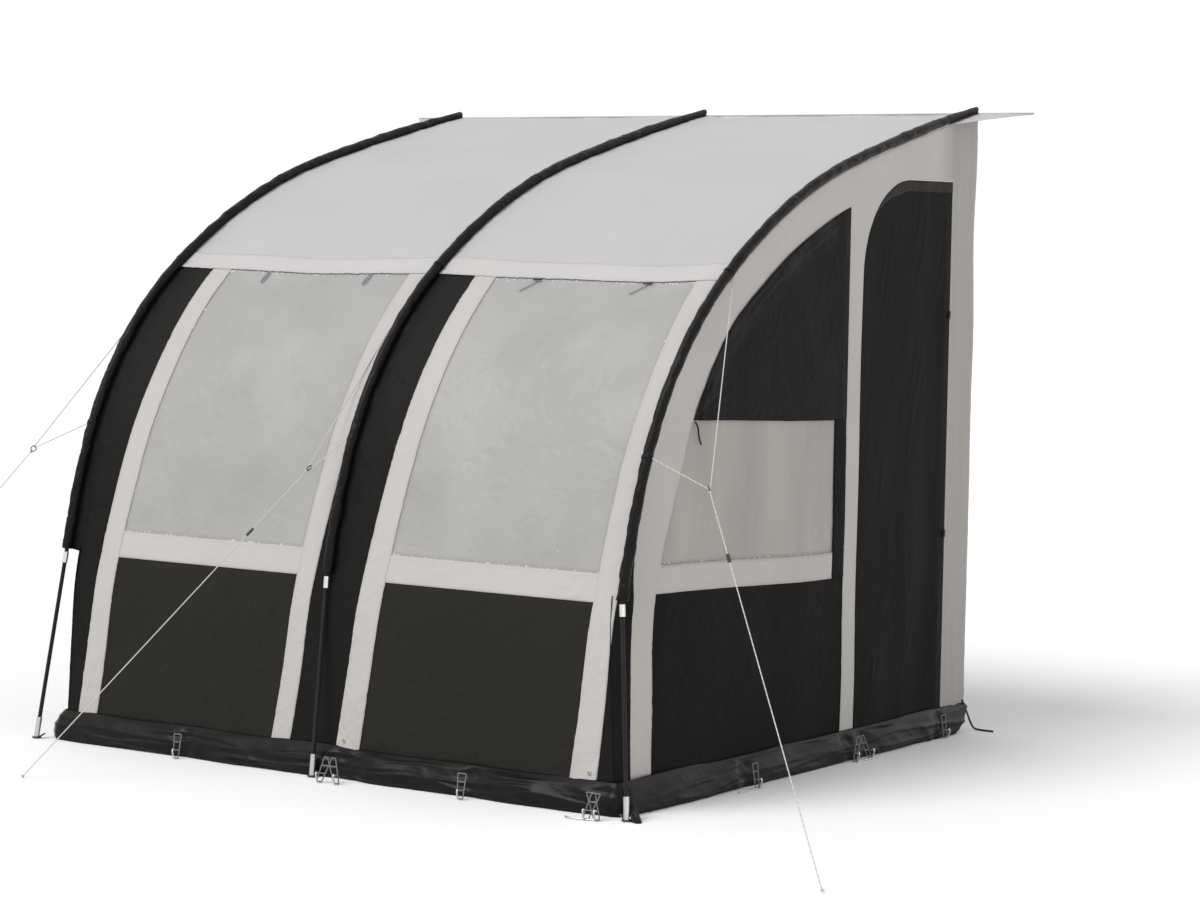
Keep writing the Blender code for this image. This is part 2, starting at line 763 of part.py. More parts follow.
def make_side_skirt(side, sign):
    """A side skirt, from a mitred front corner to a slanting rear end."""
    y, _z, _lean = walk_arch(find_run(WALL_BOTTOM, 1, SKIN_OUT), SKIN_OUT)
    wall = y + CLOTH / 2
    rear = side_places()[0]
    length = rear - wall
    columns = fold_count(length)
    rings = []
    for i in range(columns + 1):
        share = i / columns
        section = skirt_section(share * length)
        ring = []
        for out, up in section:
            start = wall - (out if i == 0 else 0.0) + MITRE_GAP
            end = rear - SKIRT_REAR_CUT * (1 - up / WALL_BOTTOM)
            ring.append((sign * (BAY_WIDTH - CLOTH / 2 + out), start + (end - start) * share, up))
        rings.append(ring)
    loft(f"side_skirt_{side}", rings, SKIRT_VINYL, ROOT, smooth=True)


# The guy lines


def tie_point(name, run, target):
    """Where a guy's leg starts beside its sleeve, seen from the point that it runs to."""
    centre, across, inward = arch_frame(run)
    centre = centre + Vector((ARCH_X[name], 0.0, 0.0))
    towards = (target - centre).normalized()
    along = across.cross(inward).normalized()
    slant = towards.dot(along)
    outward = (towards - slant * along).normalized()
    return centre + outward * (SLEEVE_RADIUS + GAP + CORD_RADIUS * abs(slant))


def cloth_leg(name, apex):
    """Points of the middle arch's upper leg: on the cloth beside the sleeve, until it leaves it."""
    inward = SKIN_OUT - CORD_RADIUS - SEAM_GAP

    def above(run):
        y, z, lean = walk_arch(run, inward)
        return math.sin(lean) * (z - apex.z) - math.cos(lean) * (y - apex.y) < 0

    low, high = LOWER_TIE_RUN, UPPER_TIE_RUN
    for _ in range(50):
        middle = (low + high) / 2
        if above(middle):
            low = middle
        else:
            high = middle
    step = (UPPER_TIE_RUN - low) / CLOTH_STEPS
    places = [walk_arch(UPPER_TIE_RUN - step * i, inward) for i in range(CLOTH_STEPS + 1)]
    start = ARCH_X[name] + math.copysign(SLEEVE_RADIUS * CLOTH_SIDE_SHARE, apex.x - ARCH_X[name])
    free = math.hypot(places[-1][0] - apex.y, places[-1][1] - apex.z)
    slope = (apex.x - start) / (UPPER_TIE_RUN - low + free)
    return [Vector((start + slope * step * i, y, z)) for i, (y, z, _lean) in enumerate(places)]


def bend_points(first, corner, last):
    """A round bend near the corner of a path, its centre and the direction into the bend."""
    a = (first - corner).normalized()
    b = (last - corner).normalized()
    half = a.angle(b) / 2
    bisector = (a + b).normalized()
    centre = corner + bisector * (CORD_BEND / math.sin(half))
    arm = corner + a * (CORD_BEND / math.tan(half)) - centre
    normal = bisector.cross(arm).normalized()
    step = (math.pi - 2 * half) / BEND_STEPS
    points = [centre + Matrix.Rotation(step * i, 3, normal) @ arm for i in range(BEND_STEPS + 1)]
    return points, centre, bisector


def spaced(first, last, step):
    """Points on a straight line, a step apart or a little more."""
    count = max(1, int((last - first).length / step))
    return [first.lerp(last, i / count) for i in range(count + 1)]


def make_guy(name):
    """One guy: two legs from the sleeve through a ring, a main line to the ground and its runner."""
    apex = Vector(GUY_RINGS[name])
    end = Vector(GUY_ENDS[name])
    down = (end - apex).normalized()
    on_cloth = cloth_leg(name, apex) if name == "middle" else [tie_point(name, UPPER_TIE_RUN, apex)]
    lower = tie_point(name, LOWER_TIE_RUN, apex)
    bend, centre, inside = bend_points(on_cloth[-1], apex, lower)
    step = LINE_STEP
    free_part = spaced(on_cloth[-1], bend[0], step)[:-1]
    legs = on_cloth[:-1] + free_part + bend + spaced(bend[-1], lower, step)[1:]
    tube(f"guy_legs_{name}", legs, CORD_RADIUS, CORD_WHITE, ROOT)

    seat = CORD_BEND - CORD_RADIUS - RING_WIRE - RING_PLAY
    ring_centre = centre - inside * seat + down * RING_RADIUS
    bpy.ops.mesh.primitive_torus_add(
        major_radius=RING_RADIUS,
        minor_radius=RING_WIRE,
        major_segments=ROUND_SIDES,
        minor_segments=TUBE_SIDES,
    )
    ring = bpy.context.object
    mesh = ring.data
    bpy.data.objects.remove(ring)
    mesh.name = f"guy_ring_{name}"
    mesh.shade_smooth()
    ring = add_object(f"guy_ring_{name}", mesh, STEEL, ROOT)
    through = (bend[-1] - bend[0]).normalized()
    through = (through - through.dot(down) * down).normalized()
    side = through.cross(down)
    ring.rotation_euler = Matrix((down, side, through)).transposed().to_euler()
    ring.location = ring_centre

    start = ring_centre + down * (RING_RADIUS + RING_WIRE + GAP)
    tube(f"guy_line_{name}", spaced(start, end, step), CORD_RADIUS, CORD_WHITE, ROOT)
    down = (end - start).normalized()
    make_runner(name, start + down * RUNNER_DROP, down)
    print("guy", name, "ring", rounded(ring_centre), "line", rounded(start), rounded(end))


def make_runner(name, place, down):
    """The runner that slides on a main line: a small block with a bore along it."""
    axis = add_empty(f"runner_axis_{name}", place, ROOT)
    axis.rotation_euler = down.to_track_quat("Z", "Y").to_euler()
    shape = bmesh.new()
    bmesh.ops.create_cube(shape, size=1.0)
    bmesh.ops.scale(shape, vec=(RUNNER_WIDTH, RUNNER_HEIGHT, RUNNER_LENGTH), verts=shape.verts)
    block = finish_mesh(f"guy_runner_{name}", shape, PLASTIC_BLACK, axis)
    bevel = block.modifiers.new("Edges", "BEVEL")
    bevel.width = RUNNER_EDGE
    bevel.segments = 1
    shape = bmesh.new()
    radius = (CORD_RADIUS + RUNNER_CLEARANCE) / math.cos(math.pi / ROUND_SIDES)
    bmesh.ops.create_cone(
        shape, cap_ends=True, segments=ROUND_SIDES, radius1=radius, radius2=radius, depth=RUNNER_LENGTH * 2
    )
    mesh = bpy.data.meshes.new(f"runner_bore_{name}")
    shape.to_mesh(mesh)
    shape.free()
    bore = bpy.data.objects.new(mesh.name, mesh)
    bore.parent = axis
    bore.hide_render = True
    bore.display_type = "WIRE"
    CUTTERS.objects.link(bore)
    cut = block.modifiers.new("Bore", "BOOLEAN")
    cut.operation = "DIFFERENCE"
    cut.solver = "EXACT"
    cut.object = bore


# The whole awning


def rounded(values):
    """Values to a hundredth of a millimetre."""
    return tuple(round(value, 5) for value in values)


def centre_on_origin():
    """Move the awning so that the box round it, without the guys, stands centred on the origin."""
    graph = bpy.context.evaluated_depsgraph_get()
    lows, highs = [], []
    for item in AWNING.objects:
        if item.type == "EMPTY" or item.name.startswith("guy_"):
            continue
        shown = item.evaluated_get(graph)
        mesh = shown.to_mesh()
        places = [shown.matrix_world @ vertex.co for vertex in mesh.vertices]
        lows.append([min(place[axis] for place in places) for axis in range(3)])
        highs.append([max(place[axis] for place in places) for axis in range(3)])
        shown.to_mesh_clear()
    low = [min(column) for column in zip(*lows)]
    high = [max(column) for column in zip(*highs)]
    ROOT.location = (-(low[0] + high[0]) / 2, -(low[1] + high[1]) / 2, -low[2])
    print("box", rounded(low), rounded(high), "moved", rounded(ROOT.location))


clear_scene()
AWNING = make_collection("caravan_awning")
CUTTERS = make_collection("cutters")
ROOT = add_empty("awning_origin", (0.0, 0.0, 0.0), None)
STATIONS = make_stations()

for arch in ARCH_X:
    make_arch(arch)
make_roof()
make_front()
for wall_side, wall_sign in SIDES.items():
    make_side(wall_side, wall_sign)
    make_upright(wall_side, wall_sign)
    make_front_skirt(wall_side, wall_sign)
    make_side_skirt(wall_side, wall_sign)
for guy in GUY_RINGS:
    make_guy(guy)
centre_on_origin()
print("side places", rounded(side_places()))
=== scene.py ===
"""Looks of the caravan awning: cloth, film, vinyl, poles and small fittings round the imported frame.

Metres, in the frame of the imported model: X along the rail, Y towards it, Z up. A run is a distance along the
arch line, and y in a side wall is counted from the front feet.
"""
import math

import bpy
import numpy as np
from mathutils import Matrix, Vector
from mathutils.geometry import delaunay_2d_cdt


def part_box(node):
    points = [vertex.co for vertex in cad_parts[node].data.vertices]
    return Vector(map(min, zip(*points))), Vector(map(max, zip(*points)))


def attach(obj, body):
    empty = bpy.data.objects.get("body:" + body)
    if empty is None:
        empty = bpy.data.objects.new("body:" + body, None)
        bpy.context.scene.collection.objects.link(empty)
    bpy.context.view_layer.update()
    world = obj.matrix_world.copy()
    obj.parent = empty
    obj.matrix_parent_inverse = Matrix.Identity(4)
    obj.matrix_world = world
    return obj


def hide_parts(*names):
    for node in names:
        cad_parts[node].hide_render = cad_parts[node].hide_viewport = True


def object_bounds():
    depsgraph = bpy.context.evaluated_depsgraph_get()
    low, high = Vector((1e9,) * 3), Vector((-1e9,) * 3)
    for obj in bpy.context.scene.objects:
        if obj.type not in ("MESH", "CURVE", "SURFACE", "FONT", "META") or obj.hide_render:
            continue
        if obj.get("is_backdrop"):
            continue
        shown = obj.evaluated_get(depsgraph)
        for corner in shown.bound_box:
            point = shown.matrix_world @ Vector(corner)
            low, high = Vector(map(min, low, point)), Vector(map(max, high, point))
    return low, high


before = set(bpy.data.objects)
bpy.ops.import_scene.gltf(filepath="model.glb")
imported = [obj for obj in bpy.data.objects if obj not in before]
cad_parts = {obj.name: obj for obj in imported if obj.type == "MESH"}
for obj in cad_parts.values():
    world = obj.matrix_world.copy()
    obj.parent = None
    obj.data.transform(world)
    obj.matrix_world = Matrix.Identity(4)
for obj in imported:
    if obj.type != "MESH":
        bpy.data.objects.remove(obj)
START_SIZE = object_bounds()

UP = Vector((0.0, 0.0, 1.0))

# The arch line of the model: lengths and turns in degrees, from the ground at the front to the rail
WALL_Y = 0.052
ARCH_RUNS = ((0.505, 0.0), (0.23, 11.0), (0.40, 7.25), (0.91, 34.9), (1.02, 21.5), (1.02, 3.9))
ARCH_LENGTH = sum(length for length, turn in ARCH_RUNS)
ARCH_TABLE_STEP = 0.005
PART_SIZE = 4000

# Widths and heights
BAY = 1.30
SLEEVE_RADIUS = 0.018
SLEEVE_START = 0.745
SLEEVE_STEP = 0.0042
SLEEVE_TURN = 158
SLEEVE_HEM = 0.0085
SLEEVE_REAR_MARGIN = 0.012
SLEEVE_TAPER = 0.40
SLEEVE_TAPER_LENGTH = 0.45
SKIN_OUT = 0.0183
SKIN_IN = 0.0213
WALL_BOTTOM = 0.100
SILL_BOTTOM = 0.727
SILL_TOP = 0.827
SEAM_RUN = 2.06
ROOF_BAND = 0.092
BAND_INSET = 0.012
BAND_LAP = 0.002
STRIP_A = (0.180, 0.275)
STRIP_B = (1.170, 1.257)
STRIP_BOW = 0.035
STRIP_LEANS = ((0.105, 0.108, 0.122, 0.122), (0.126, 0.110, 0.072, 0.048))
COLUMN_WIDTH = 0.200
DOOR_WIDTH = 0.715
DOOR_CORNER = 0.38
DOOR_HEADER = 0.235
POST_WIDTH = 0.098
ARCH_STRIP = (0.230, 0.165)
ARCH_STRIP_RUNS = (1.30, 2.00)
FLAP_BOTTOM = 1.33
WING_WIDTH = 0.25
WING_RUN = 0.26
WING_TIP = 0.006
WING_GAP = 0.0004
FLAP_HEM = 0.034
SIDES = {"left": -1, "right": 1}
ARCH_X = {"left": -BAY, "middle": 0.0, "right": BAY}

# Cloth
CLOTH = 0.0012
FILM = 0.0008
FRONT_STEP = 0.008
ROOF_STEP = 0.011
SIDE_STEP = 0.0105
LATTICE_RISE = 0.87
LATTICE_GAP = 0.55
SEAM_LAP = 0.009
STRIP_LIFT = 0.0012
FILM_DEPTH = 0.0016
ZIP_GAP = 0.0012
WEAVE_PITCH = 0.0011
WEAVE_DEPTH = 0.0004
CRUMPLE_DEPTH = 0.004
SEAM_DEPTH = 0.0006
RIPPLE_DEPTH = 0.006
VINYL_DEPTH = 0.012
GRAIN_DEPTH = 0.0005
BRAID_DEPTH = 0.0004
HEM = 0.0125
STITCH_PITCH = 0.004
STITCH_SHARE = 0.62
STITCH_WIDTH = 0.0004
STITCH_ROWS = (0.003, 0.010)
FILM_HEM = 0.022
GLINT_GREY = 0.85
CRUMPLE_TURN = (0.7, 0.7, 0.0)
CRUMPLE_STRETCH = (1.0, 1.0, 0.4)
GLINT_LEVEL = 0.755
GLINT_REACH = 0.027
GLINT_BAND = 0.018
HINGE_REACH = 0.05
# Painted highlights on the window cover's fold lines
FOLD_HIGHLIGHT_ACROSS = 32.0
FOLD_HIGHLIGHT_ALONG = 2.2
FOLD_HIGHLIGHT_REACH = 0.11
FOLD_HIGHLIGHT_SHARPNESS = 9.0
FLAP_FOLD_HIGHLIGHT_LENGTH = 1.25
STRIP_SHARE = 0.3
SILL_SLANT = 0.020
CORNER_INSET = 0.057
CORNER_FOOT_INSET = 0.018
CORNER_INSET_TOP = 1.30
CORNER_REACH = 0.30
CORNER_LAP = 0.0015
CORNER_BACK = 0.009
CORNER_STRIP = (0.112, 0.130, 0.024)
CORNER_STRIP_RUNS = (0.10, 0.745, 1.25)
FILM_BORDER = 0.086
DOOR_FACING = 0.045
DOOR_FACING_START = 12

# Cords, rings and small fittings
CORD_RADIUS = 0.002
CORD_BEND = 0.009
CORD_STEP = 0.03
UPPER_TIE_RUN = 2.08
LOWER_TIE_RUN = 1.25
BEND_STEPS = 12
CLOTH_STEPS = 12
CLOTH_SIDE_SHARE = 0.76
GUY_RINGS = {"right": (1.552, 0.226, 1.132), "middle": (-0.104, 0.060, 1.098), "left": (-1.600, 0.190, 1.110)}
GUY_ENDS = {"right": (2.503, -0.598), "middle": (-0.790, -0.682), "left": (-2.200, -0.500)}
TIE_BAND = 0.016
TIE_BAND_OUT = 0.0022
TIE_BAND_TURN = 150
KNOT_SIZE = 0.0052
KNOT_STEP = 0.004
KNOT_TAILS = ((0.004, -0.006, -0.026), (0.006, -0.004, -0.024))
KNOT_LIFT = 0.003
KNOT_CORD = 0.9
KNOT_TAIL_CORD = 0.8
RING_REACH = 0.0112
STRAP_WIDTHS = (0.036, 0.024)
STRAP_RADIUS = 0.0024
STRAP_SLANT = 0.012
STRAP_HEIGHT = 0.088
PEG_RADIUS = 0.0036
HOOK_BENDS = ((0.030, 0.004), (0.036, 0.016), (0.026, 0.020), (PEG_RADIUS - 0.0045, 0.010))
LOOP_RADIUS = 0.0022
REAR_ROD_RADIUS = 0.004
FOOT_RING = 0.0145
FOOT_RING_THICK = 0.0036
FOOT_LINK = 0.003
TOGGLE_RADIUS = 0.0042
TOGGLE_HALF = 0.018
TOGGLE_OUT = 0.007
DOOR_TOGGLE_RADIUS = 0.005
DOOR_TOGGLE_OUT = 0.006
DOOR_TOGGLE_HEIGHTS = (1.70, 0.82)
DOOR_TOGGLE_HALF = 0.015
EYELET = 0.0062
EYELET_THICK = 0.0019
EYELET_OUT = 0.004
EYELET_SPOTS = ((0.098, 0.136), (1.182, 0.136))
FLAP_TIE_RADIUS = 0.003
LOOP_OUT = 0.004

# Camera: lens, angles in degrees and its place seen from the front feet, and the floor
PHOTO_WIDTH = 1200
FOCAL_PIXELS = 3165
SENSOR = 36.0
YAW = 34.17
PITCH = 3.83
ROLL = 1.0
CAMERA_FROM_FEET = (7.288, -8.898, 1.983)
FLOOR_REACH = 60.0


# The arch line and the surfaces on it


def make_arch_table():
    """Columns run, y, z and lean of the arch line, y counted from the front feet."""
    rows = []
    y, z, lean, run = WALL_Y, 0.0, 0.0, 0.0
    for length, turn in ARCH_RUNS:
        steps = round(length / ARCH_TABLE_STEP)
        for _ in range(steps):
            rows.append((run, y, z, lean))
            ahead = lean + math.radians(turn) / steps
            middle = (lean + ahead) / 2
            y += length / steps * math.sin(middle)
            z += length / steps * math.cos(middle)
            lean = ahead
            run += length / steps
    rows.append((run, y, z, lean))
    return np.array(rows)


ARCH = make_arch_table()


def arch_point(run, inward=0.0):
    """y from the feet and z of the arch line, moved inward. Works on numbers and arrays."""
    lean = np.interp(run, ARCH[:, 0], ARCH[:, 3])
    y = np.interp(run, ARCH[:, 0], ARCH[:, 1]) + inward * np.cos(lean)
    z = np.interp(run, ARCH[:, 0], ARCH[:, 2]) - inward * np.sin(lean)
    return y, z


def find_run(wanted, axis, inward):
    """The run at which y (axis 0) or z (axis 1) has the wanted value."""
    runs = ARCH[:, 0]
    depth = inward(runs) if callable(inward) else inward
    return float(np.interp(wanted, arch_point(runs, depth)[axis], runs))


REAR = float(arch_point(ARCH_LENGTH, SKIN_IN)[0])
SHIFT_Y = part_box("side_frame_right")[1].y - REAR
BOTTOM_RUN = find_run(WALL_BOTTOM, 1, SKIN_OUT)
SILL_LOW_RUN = find_run(SILL_BOTTOM, 1, SKIN_OUT)
SILL_HIGH_RUN = find_run(SILL_TOP, 1, SKIN_OUT)
DOOR_REAR = REAR - COLUMN_WIDTH
DOOR_FRONT = DOOR_REAR - DOOR_WIDTH
WINDOW_REAR = DOOR_FRONT - POST_WIDTH
DOOR_TOP = float(arch_point(find_run(DOOR_REAR, 0, SKIN_IN), SKIN_IN)[1]) - DOOR_HEADER


def place(x, y, z):
    """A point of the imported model's frame from y counted from the front feet."""
    return Vector((x, y + SHIFT_Y, z))


def on_skin(x, run, out=0.0):
    """Points on the front or roof at a height above its cloth."""
    y, z = arch_point(run, SKIN_OUT - out)
    x, y, z = np.broadcast_arrays(x, y + SHIFT_Y, z)
    return np.stack([x, y, z], axis=-1)


def rows(*parts):
    """One row of values for each point of equal arrays."""
    return np.stack(np.broadcast_arrays(*parts), axis=-1).reshape(-1, len(parts))


def smooth(value, low, high):
    """0 below low, 1 above high and a soft step between."""
    share = np.clip((value - low) / (high - low), 0.0, 1.0)
    return share * share * (3 - 2 * share)


# Wrinkles


def waves(a, b, seed, count=6):
    """Soft random waves about one unit long, with values near -1 to 1."""
    rng = np.random.default_rng(seed)
    total = 0.0
    for _ in range(count):
        angle = rng.uniform(0, 2 * math.pi)
        pace = 2 * math.pi * rng.uniform(0.6, 1.5)
        total = total + np.sin(pace * (a * math.cos(angle) + b * math.sin(angle)) + rng.uniform(0, 2 * math.pi))
    return total / math.sqrt(2 * count)


def creases(a, b, angle, pitch, length, seed, sharp=3.0):
    """Sharp narrow ridges that run at an angle in degrees to a, with values 0 to 1 and a fading pattern."""
    turn = math.radians(angle)
    along = (a * math.cos(turn) + b * math.sin(turn)) / length
    across = (b * math.cos(turn) - a * math.sin(turn)) / pitch
    bend = waves(along * 0.9, across * 0.15, seed + 1, 4)
    lines = 1 - np.abs(waves(along, across + 0.35 * bend, seed, 7))
    fade = smooth(waves(along * 0.8, across * 0.25, seed + 2, 4), -0.3, 0.8)
    return np.clip(lines, 0, 1) ** sharp * fade


def ripples(a, b, regions, wave_rows, crease_rows):
    """The sum of rows of waves and creases, each in its region."""
    total = 0.0
    for region, height, width, length, seed in wave_rows:
        total = total + height * regions[region] * waves(a / width, b / length, seed)
    for region, height, *shape in crease_rows:
        total = total + height * regions[region] * creases(a, b, *shape)
    return total


# Waves are rows of region, height, width, length and seed.
# Creases are rows of region, height, angle, spacing, length, seed and sharpness.
FRONT_WAVES = (
    ("cloth", 0.0035, 0.55, 0.80, 11),
    ("roof", 0.0060, 0.75, 0.90, 36),
    ("seam", 0.0012, 0.05, 0.30, 34),
    ("foot", 0.0040, 0.30, 0.50, 35),
)
FRONT_CREASES = (
    ("high sleeve", 0.0060, 38, 0.050, 0.16, 21, 2.0),
    ("sleeve", 0.0045, -42, 0.060, 0.18, 22, 2.0),
    ("fine", 0.0026, 28, 0.045, 0.22, 31),
    ("fine", -0.0026, -35, 0.050, 0.20, 32),
    ("wall", 0.0015, 62, 0.035, 0.12, 33, 4.0),
)
SIDE_WAVES = (
    ("cloth", 0.0040, 0.50, 0.80, 51),
    ("door", 0.0035, 0.30, 1.30, 55),
    ("column", 0.0030, 0.09, 1.10, 58),
)
SIDE_CREASES = (
    ("front", 0.0022, 50, 0.045, 0.20, 52),
    ("front", -0.0018, -40, 0.050, 0.18, 53),
    ("door", 0.0022, 80, 0.070, 0.50, 56),
    ("low door", 0.0030, 40, 0.080, 0.30, 57),
    ("column", 0.0016, 70, 0.030, 0.25, 59),
)
ARCH_CREASES = (("sleeve", 0.0035, 65, 0.035, 0.15, 54, 2.0),)
ROOF_SAG = 0.017
WALL_SAG = 0.006


def front_relief(x, run):
    """How far the front wall and the roof stand out from their plain surface."""
    bay = np.mod(x + 2 * BAY, BAY)
    side = np.minimum(bay, BAY - bay)
    hold = smooth(side, 0.0, 0.10)
    near = np.exp(-side / 0.05) * (1 - np.exp(-side / 0.008))
    roof = smooth(run, 1.95, 2.15)
    regions = {
        "cloth": hold,
        "roof": hold * roof,
        "seam": hold * np.exp(-np.abs(run - SEAM_RUN) / 0.03),
        "foot": hold * smooth(run, 0.55, 0.2),
        "wall": hold * (1 - roof) * smooth(run, 0.1, 0.3),
        "fine": hold * (1 - roof / 2),
        "sleeve": near,
        "high sleeve": near * smooth(run, 0.3, 0.9),
    }
    upper = smooth(run, 1.3, 2.6) * (1 - 0.75 * smooth(run, 3.3, ARCH_LENGTH))
    sag = ROOF_SAG * upper + WALL_SAG * (1 - upper) * smooth(run, 0.1, 0.7)
    return ripples(x, run, regions, FRONT_WAVES, FRONT_CREASES) - sag * np.sin(math.pi * bay / BAY)


def corner_inset(run):
    """How far the wall's corner lies inside its arch, where the sleeve ends and below it."""
    above = CORNER_INSET * (1 - smooth(run, SLEEVE_START, CORNER_INSET_TOP))
    below = np.interp(run, (BOTTOM_RUN, SLEEVE_START), (CORNER_FOOT_INSET, CORNER_INSET))
    return np.where(run < SLEEVE_START, below, above)


def corner_back(run):
    """How far inward of the arch line a side wall ends: it stays behind the front wall's edge."""
    return SKIN_IN + CORNER_BACK * (1 - smooth(run, CORNER_INSET_TOP, CORNER_INSET_TOP + CORNER_REACH))


def hinge_hold(y, z):
    """0 on the hinge lines of the door and of the window's cover, and 1 away from them."""
    door = 1 - smooth(np.abs(y - DOOR_REAR), 0.0, HINGE_REACH)
    cover = 1 - smooth(np.abs(y - WINDOW_REAR), 0.0, HINGE_REACH)
    return (1 - door) * (1 - cover * smooth(z, FLAP_BOTTOM - 0.12, FLAP_BOTTOM - 0.02))


def side_relief(y, z):
    """How far a side wall stands out from flat."""
    run = find_runs(y, z)
    arch_y, arch_z = arch_point(run, SKIN_IN)
    inward = np.hypot(y - arch_y, z - arch_z)
    hold = smooth(inward, 0.0, 0.08)
    door = smooth(y, DOOR_FRONT - 0.04, DOOR_FRONT + 0.1) * (1 - smooth(y, DOOR_REAR - 0.06, DOOR_REAR))
    regions = {
        "cloth": hold,
        "front": hold * (1 - smooth(y, WINDOW_REAR - 0.05, DOOR_FRONT)),
        "door": door,
        "low door": door * (1 - smooth(z, 0.2, 1.0)),
        "column": smooth(y, DOOR_REAR - 0.02, DOOR_REAR + 0.05),
        "sleeve": np.exp(-inward / 0.07) * (1 - np.exp(-inward / 0.01)),
    }
    relief = ripples(y, z, regions, SIDE_WAVES, SIDE_CREASES)
    relief += ripples(run, inward, regions, (), ARCH_CREASES)
    relief -= corner_inset(run) * (1 - smooth(inward, 0.0, CORNER_REACH))
    return relief * hinge_hold(y, z)


def find_runs(y, z):
    """The run nearest to each point of a side wall."""
    points = rows(y, z)
    line = ARCH[::3]
    found = []
    for start in range(0, len(points), PART_SIZE):
        part = points[start : start + PART_SIZE]
        away = (part[:, None, 0] - line[None, :, 1]) ** 2 + (part[:, None, 1] - line[None, :, 2]) ** 2
        found.append(line[np.argmin(away, axis=1), 0])
    return np.concatenate(found).reshape(np.shape(y))


# Meshes


def link(item, body="shell"):
    """Show a piece and let it move with a body of the model."""
    bpy.context.scene.collection.objects.link(item)
    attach(item, body)
    return item


def make_cloth(name, points, faces, material, marks=None, flat=None, depth=CLOTH, body="shell"):
    """A thin cloth, thickened behind its shown side.

    Marks are the distances from the cloth's edge and along it. Flat is the place on the uncut cloth.
    """
    mesh = bpy.data.meshes.new(name)
    mesh.from_pydata(points.tolist(), [], faces.tolist())
    mesh.shade_smooth()
    mesh.materials.append(material)
    corners = np.empty(len(mesh.loops), np.int32)
    mesh.loops.foreach_get("vertex_index", corners)
    for layer, values in (("cloth", flat), ("edge", marks)):
        if values is not None:
            uv = mesh.uv_layers.new(name=layer)
            uv.data.foreach_set("uv", values[corners].astype(np.float32).ravel())
    item = bpy.data.objects.new(name, mesh)
    modifier = item.modifiers.new("Thickness", "SOLIDIFY")
    modifier.thickness = depth
    modifier.offset = -1.0
    return link(item, body)


def grid_faces(rows, columns):
    """Faces of a grid of points, row by row."""
    index = np.arange(rows * columns).reshape(rows, columns)
    faces = np.stack([index[:-1, :-1], index[:-1, 1:], index[1:, 1:], index[1:, :-1]], axis=-1)
    return faces.reshape(-1, 4)


def flat_area(points, faces):
    """The area of a mesh's faces."""
    corners = points[faces]
    total = 0.0
    for i in range(1, faces.shape[1] - 1):
        cross = np.cross(corners[:, i] - corners[:, 0], corners[:, i + 1] - corners[:, 0])
        total += float(np.linalg.norm(cross, axis=1).sum()) / 2
    return total


def declare_sheet(node=None):
    """Hide the piece of the model that a cloth takes the place of, if one is given."""
    if node:
        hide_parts(node)


def skin_piece(name, left, right, first, last, material, node=None, out=0.0, step=FRONT_STEP, depth=CLOTH):
    """A cloth on the front or roof between two edges, each a function of the run."""
    runs = np.linspace(first, last, max(4, round((last - first) / step)) + 1)[:, None]
    a, b = left(runs), right(runs)
    width = float(np.max(b - a))
    share = np.linspace(0, 1, max(4, round(width / step)) + 1)
    x = a + (b - a) * share
    run = np.broadcast_to(runs, x.shape)
    points = on_skin(x, run, front_relief(x, run) + out).reshape(-1, 3)
    faces = grid_faces(*x.shape)
    edge = np.minimum(x - a, b - x)
    ends = np.minimum(run - first, last - run)
    marks = rows(np.minimum(edge, ends), np.where(edge < ends, run, x))
    title = f"{name}_sheet" if node else name
    item = make_cloth(title, points, faces, material, marks, rows(x, run), depth)
    declare_sheet(node)


def edge_at(x):
    """An edge at one x."""
    return lambda run: np.full_like(run, x)


def corner_edge(sign):
    """The front wall's outer edge: at the arch where the sleeve runs, and inside it below the sleeve's end."""
    return lambda run: sign * (BAY + CORNER_LAP - np.where(run < SLEEVE_START, corner_inset(run), 0.0))


def strip_edge(bay_x, offset, nudge=0.0):
    """An edge of a front strip: it bows out a little and leans to the left towards the ground."""
    lean = STRIP_LEANS[bay_x == 0.0][(STRIP_A + STRIP_B).index(offset)]

    def edge(run):
        share = (SEAM_RUN - run) / (SEAM_RUN - BOTTOM_RUN)
        return bay_x + offset + STRIP_BOW * 4 * share * (1 - share) - lean * share**2 + nudge

    return edge


# Outlines in a side wall: lists of (y, z), y counted from the front feet


def arch_strip(run):
    """How far the pale strip of the side wall reaches inward of the arch line."""
    return np.interp(run, ARCH_STRIP_RUNS, ARCH_STRIP)


def dense(points, step=SIDE_STEP):
    """A closed outline with points a step apart."""
    result = []
    for first, second in zip(points, [*points[1:], points[0]]):
        first, second = np.array(first), np.array(second)
        count = max(1, round(float(np.linalg.norm(second - first)) / step))
        result.extend(first + (second - first) * i / count for i in range(count))
    return np.array(result)


def arch_part(first, last, inward):
    """A part of a line that follows the arch, as a list of points."""
    runs = np.linspace(first, last, max(2, round(abs(last - first) / SIDE_STEP)) + 1)
    depth = inward(runs) if callable(inward) else inward
    return list(zip(*arch_point(runs, depth)))


def strip_line(low, rear, margin):
    """The pale strip's inner edge between a height and a place y, moved out by a margin."""

    def inward(run):
        return arch_strip(run) - margin

    return arch_part(find_run(low, 1, inward), find_run(rear, 0, inward), inward)


def window_outline(low, margin):
    """The window opening from a height up, moved out by a margin."""
    rear = WINDOW_REAR + margin
    line = strip_line(low - margin, rear, margin)
    return line + [(rear, low - margin)]


def door_outline(bottom, margin):
    """The doorway, moved out by a margin: up the front, round the corner and down the rear."""
    front = DOOR_FRONT - margin
    high = DOOR_TOP + margin
    radius = DOOR_CORNER + margin
    points = [(front, bottom)]
    for i in range(25):
        angle = math.pi / 2 * i / 24
        points.append((front + radius * (1 - math.cos(angle)), high - radius * (1 - math.sin(angle))))
    return points + [(DOOR_REAR + margin, high), (DOOR_REAR + margin, bottom)]


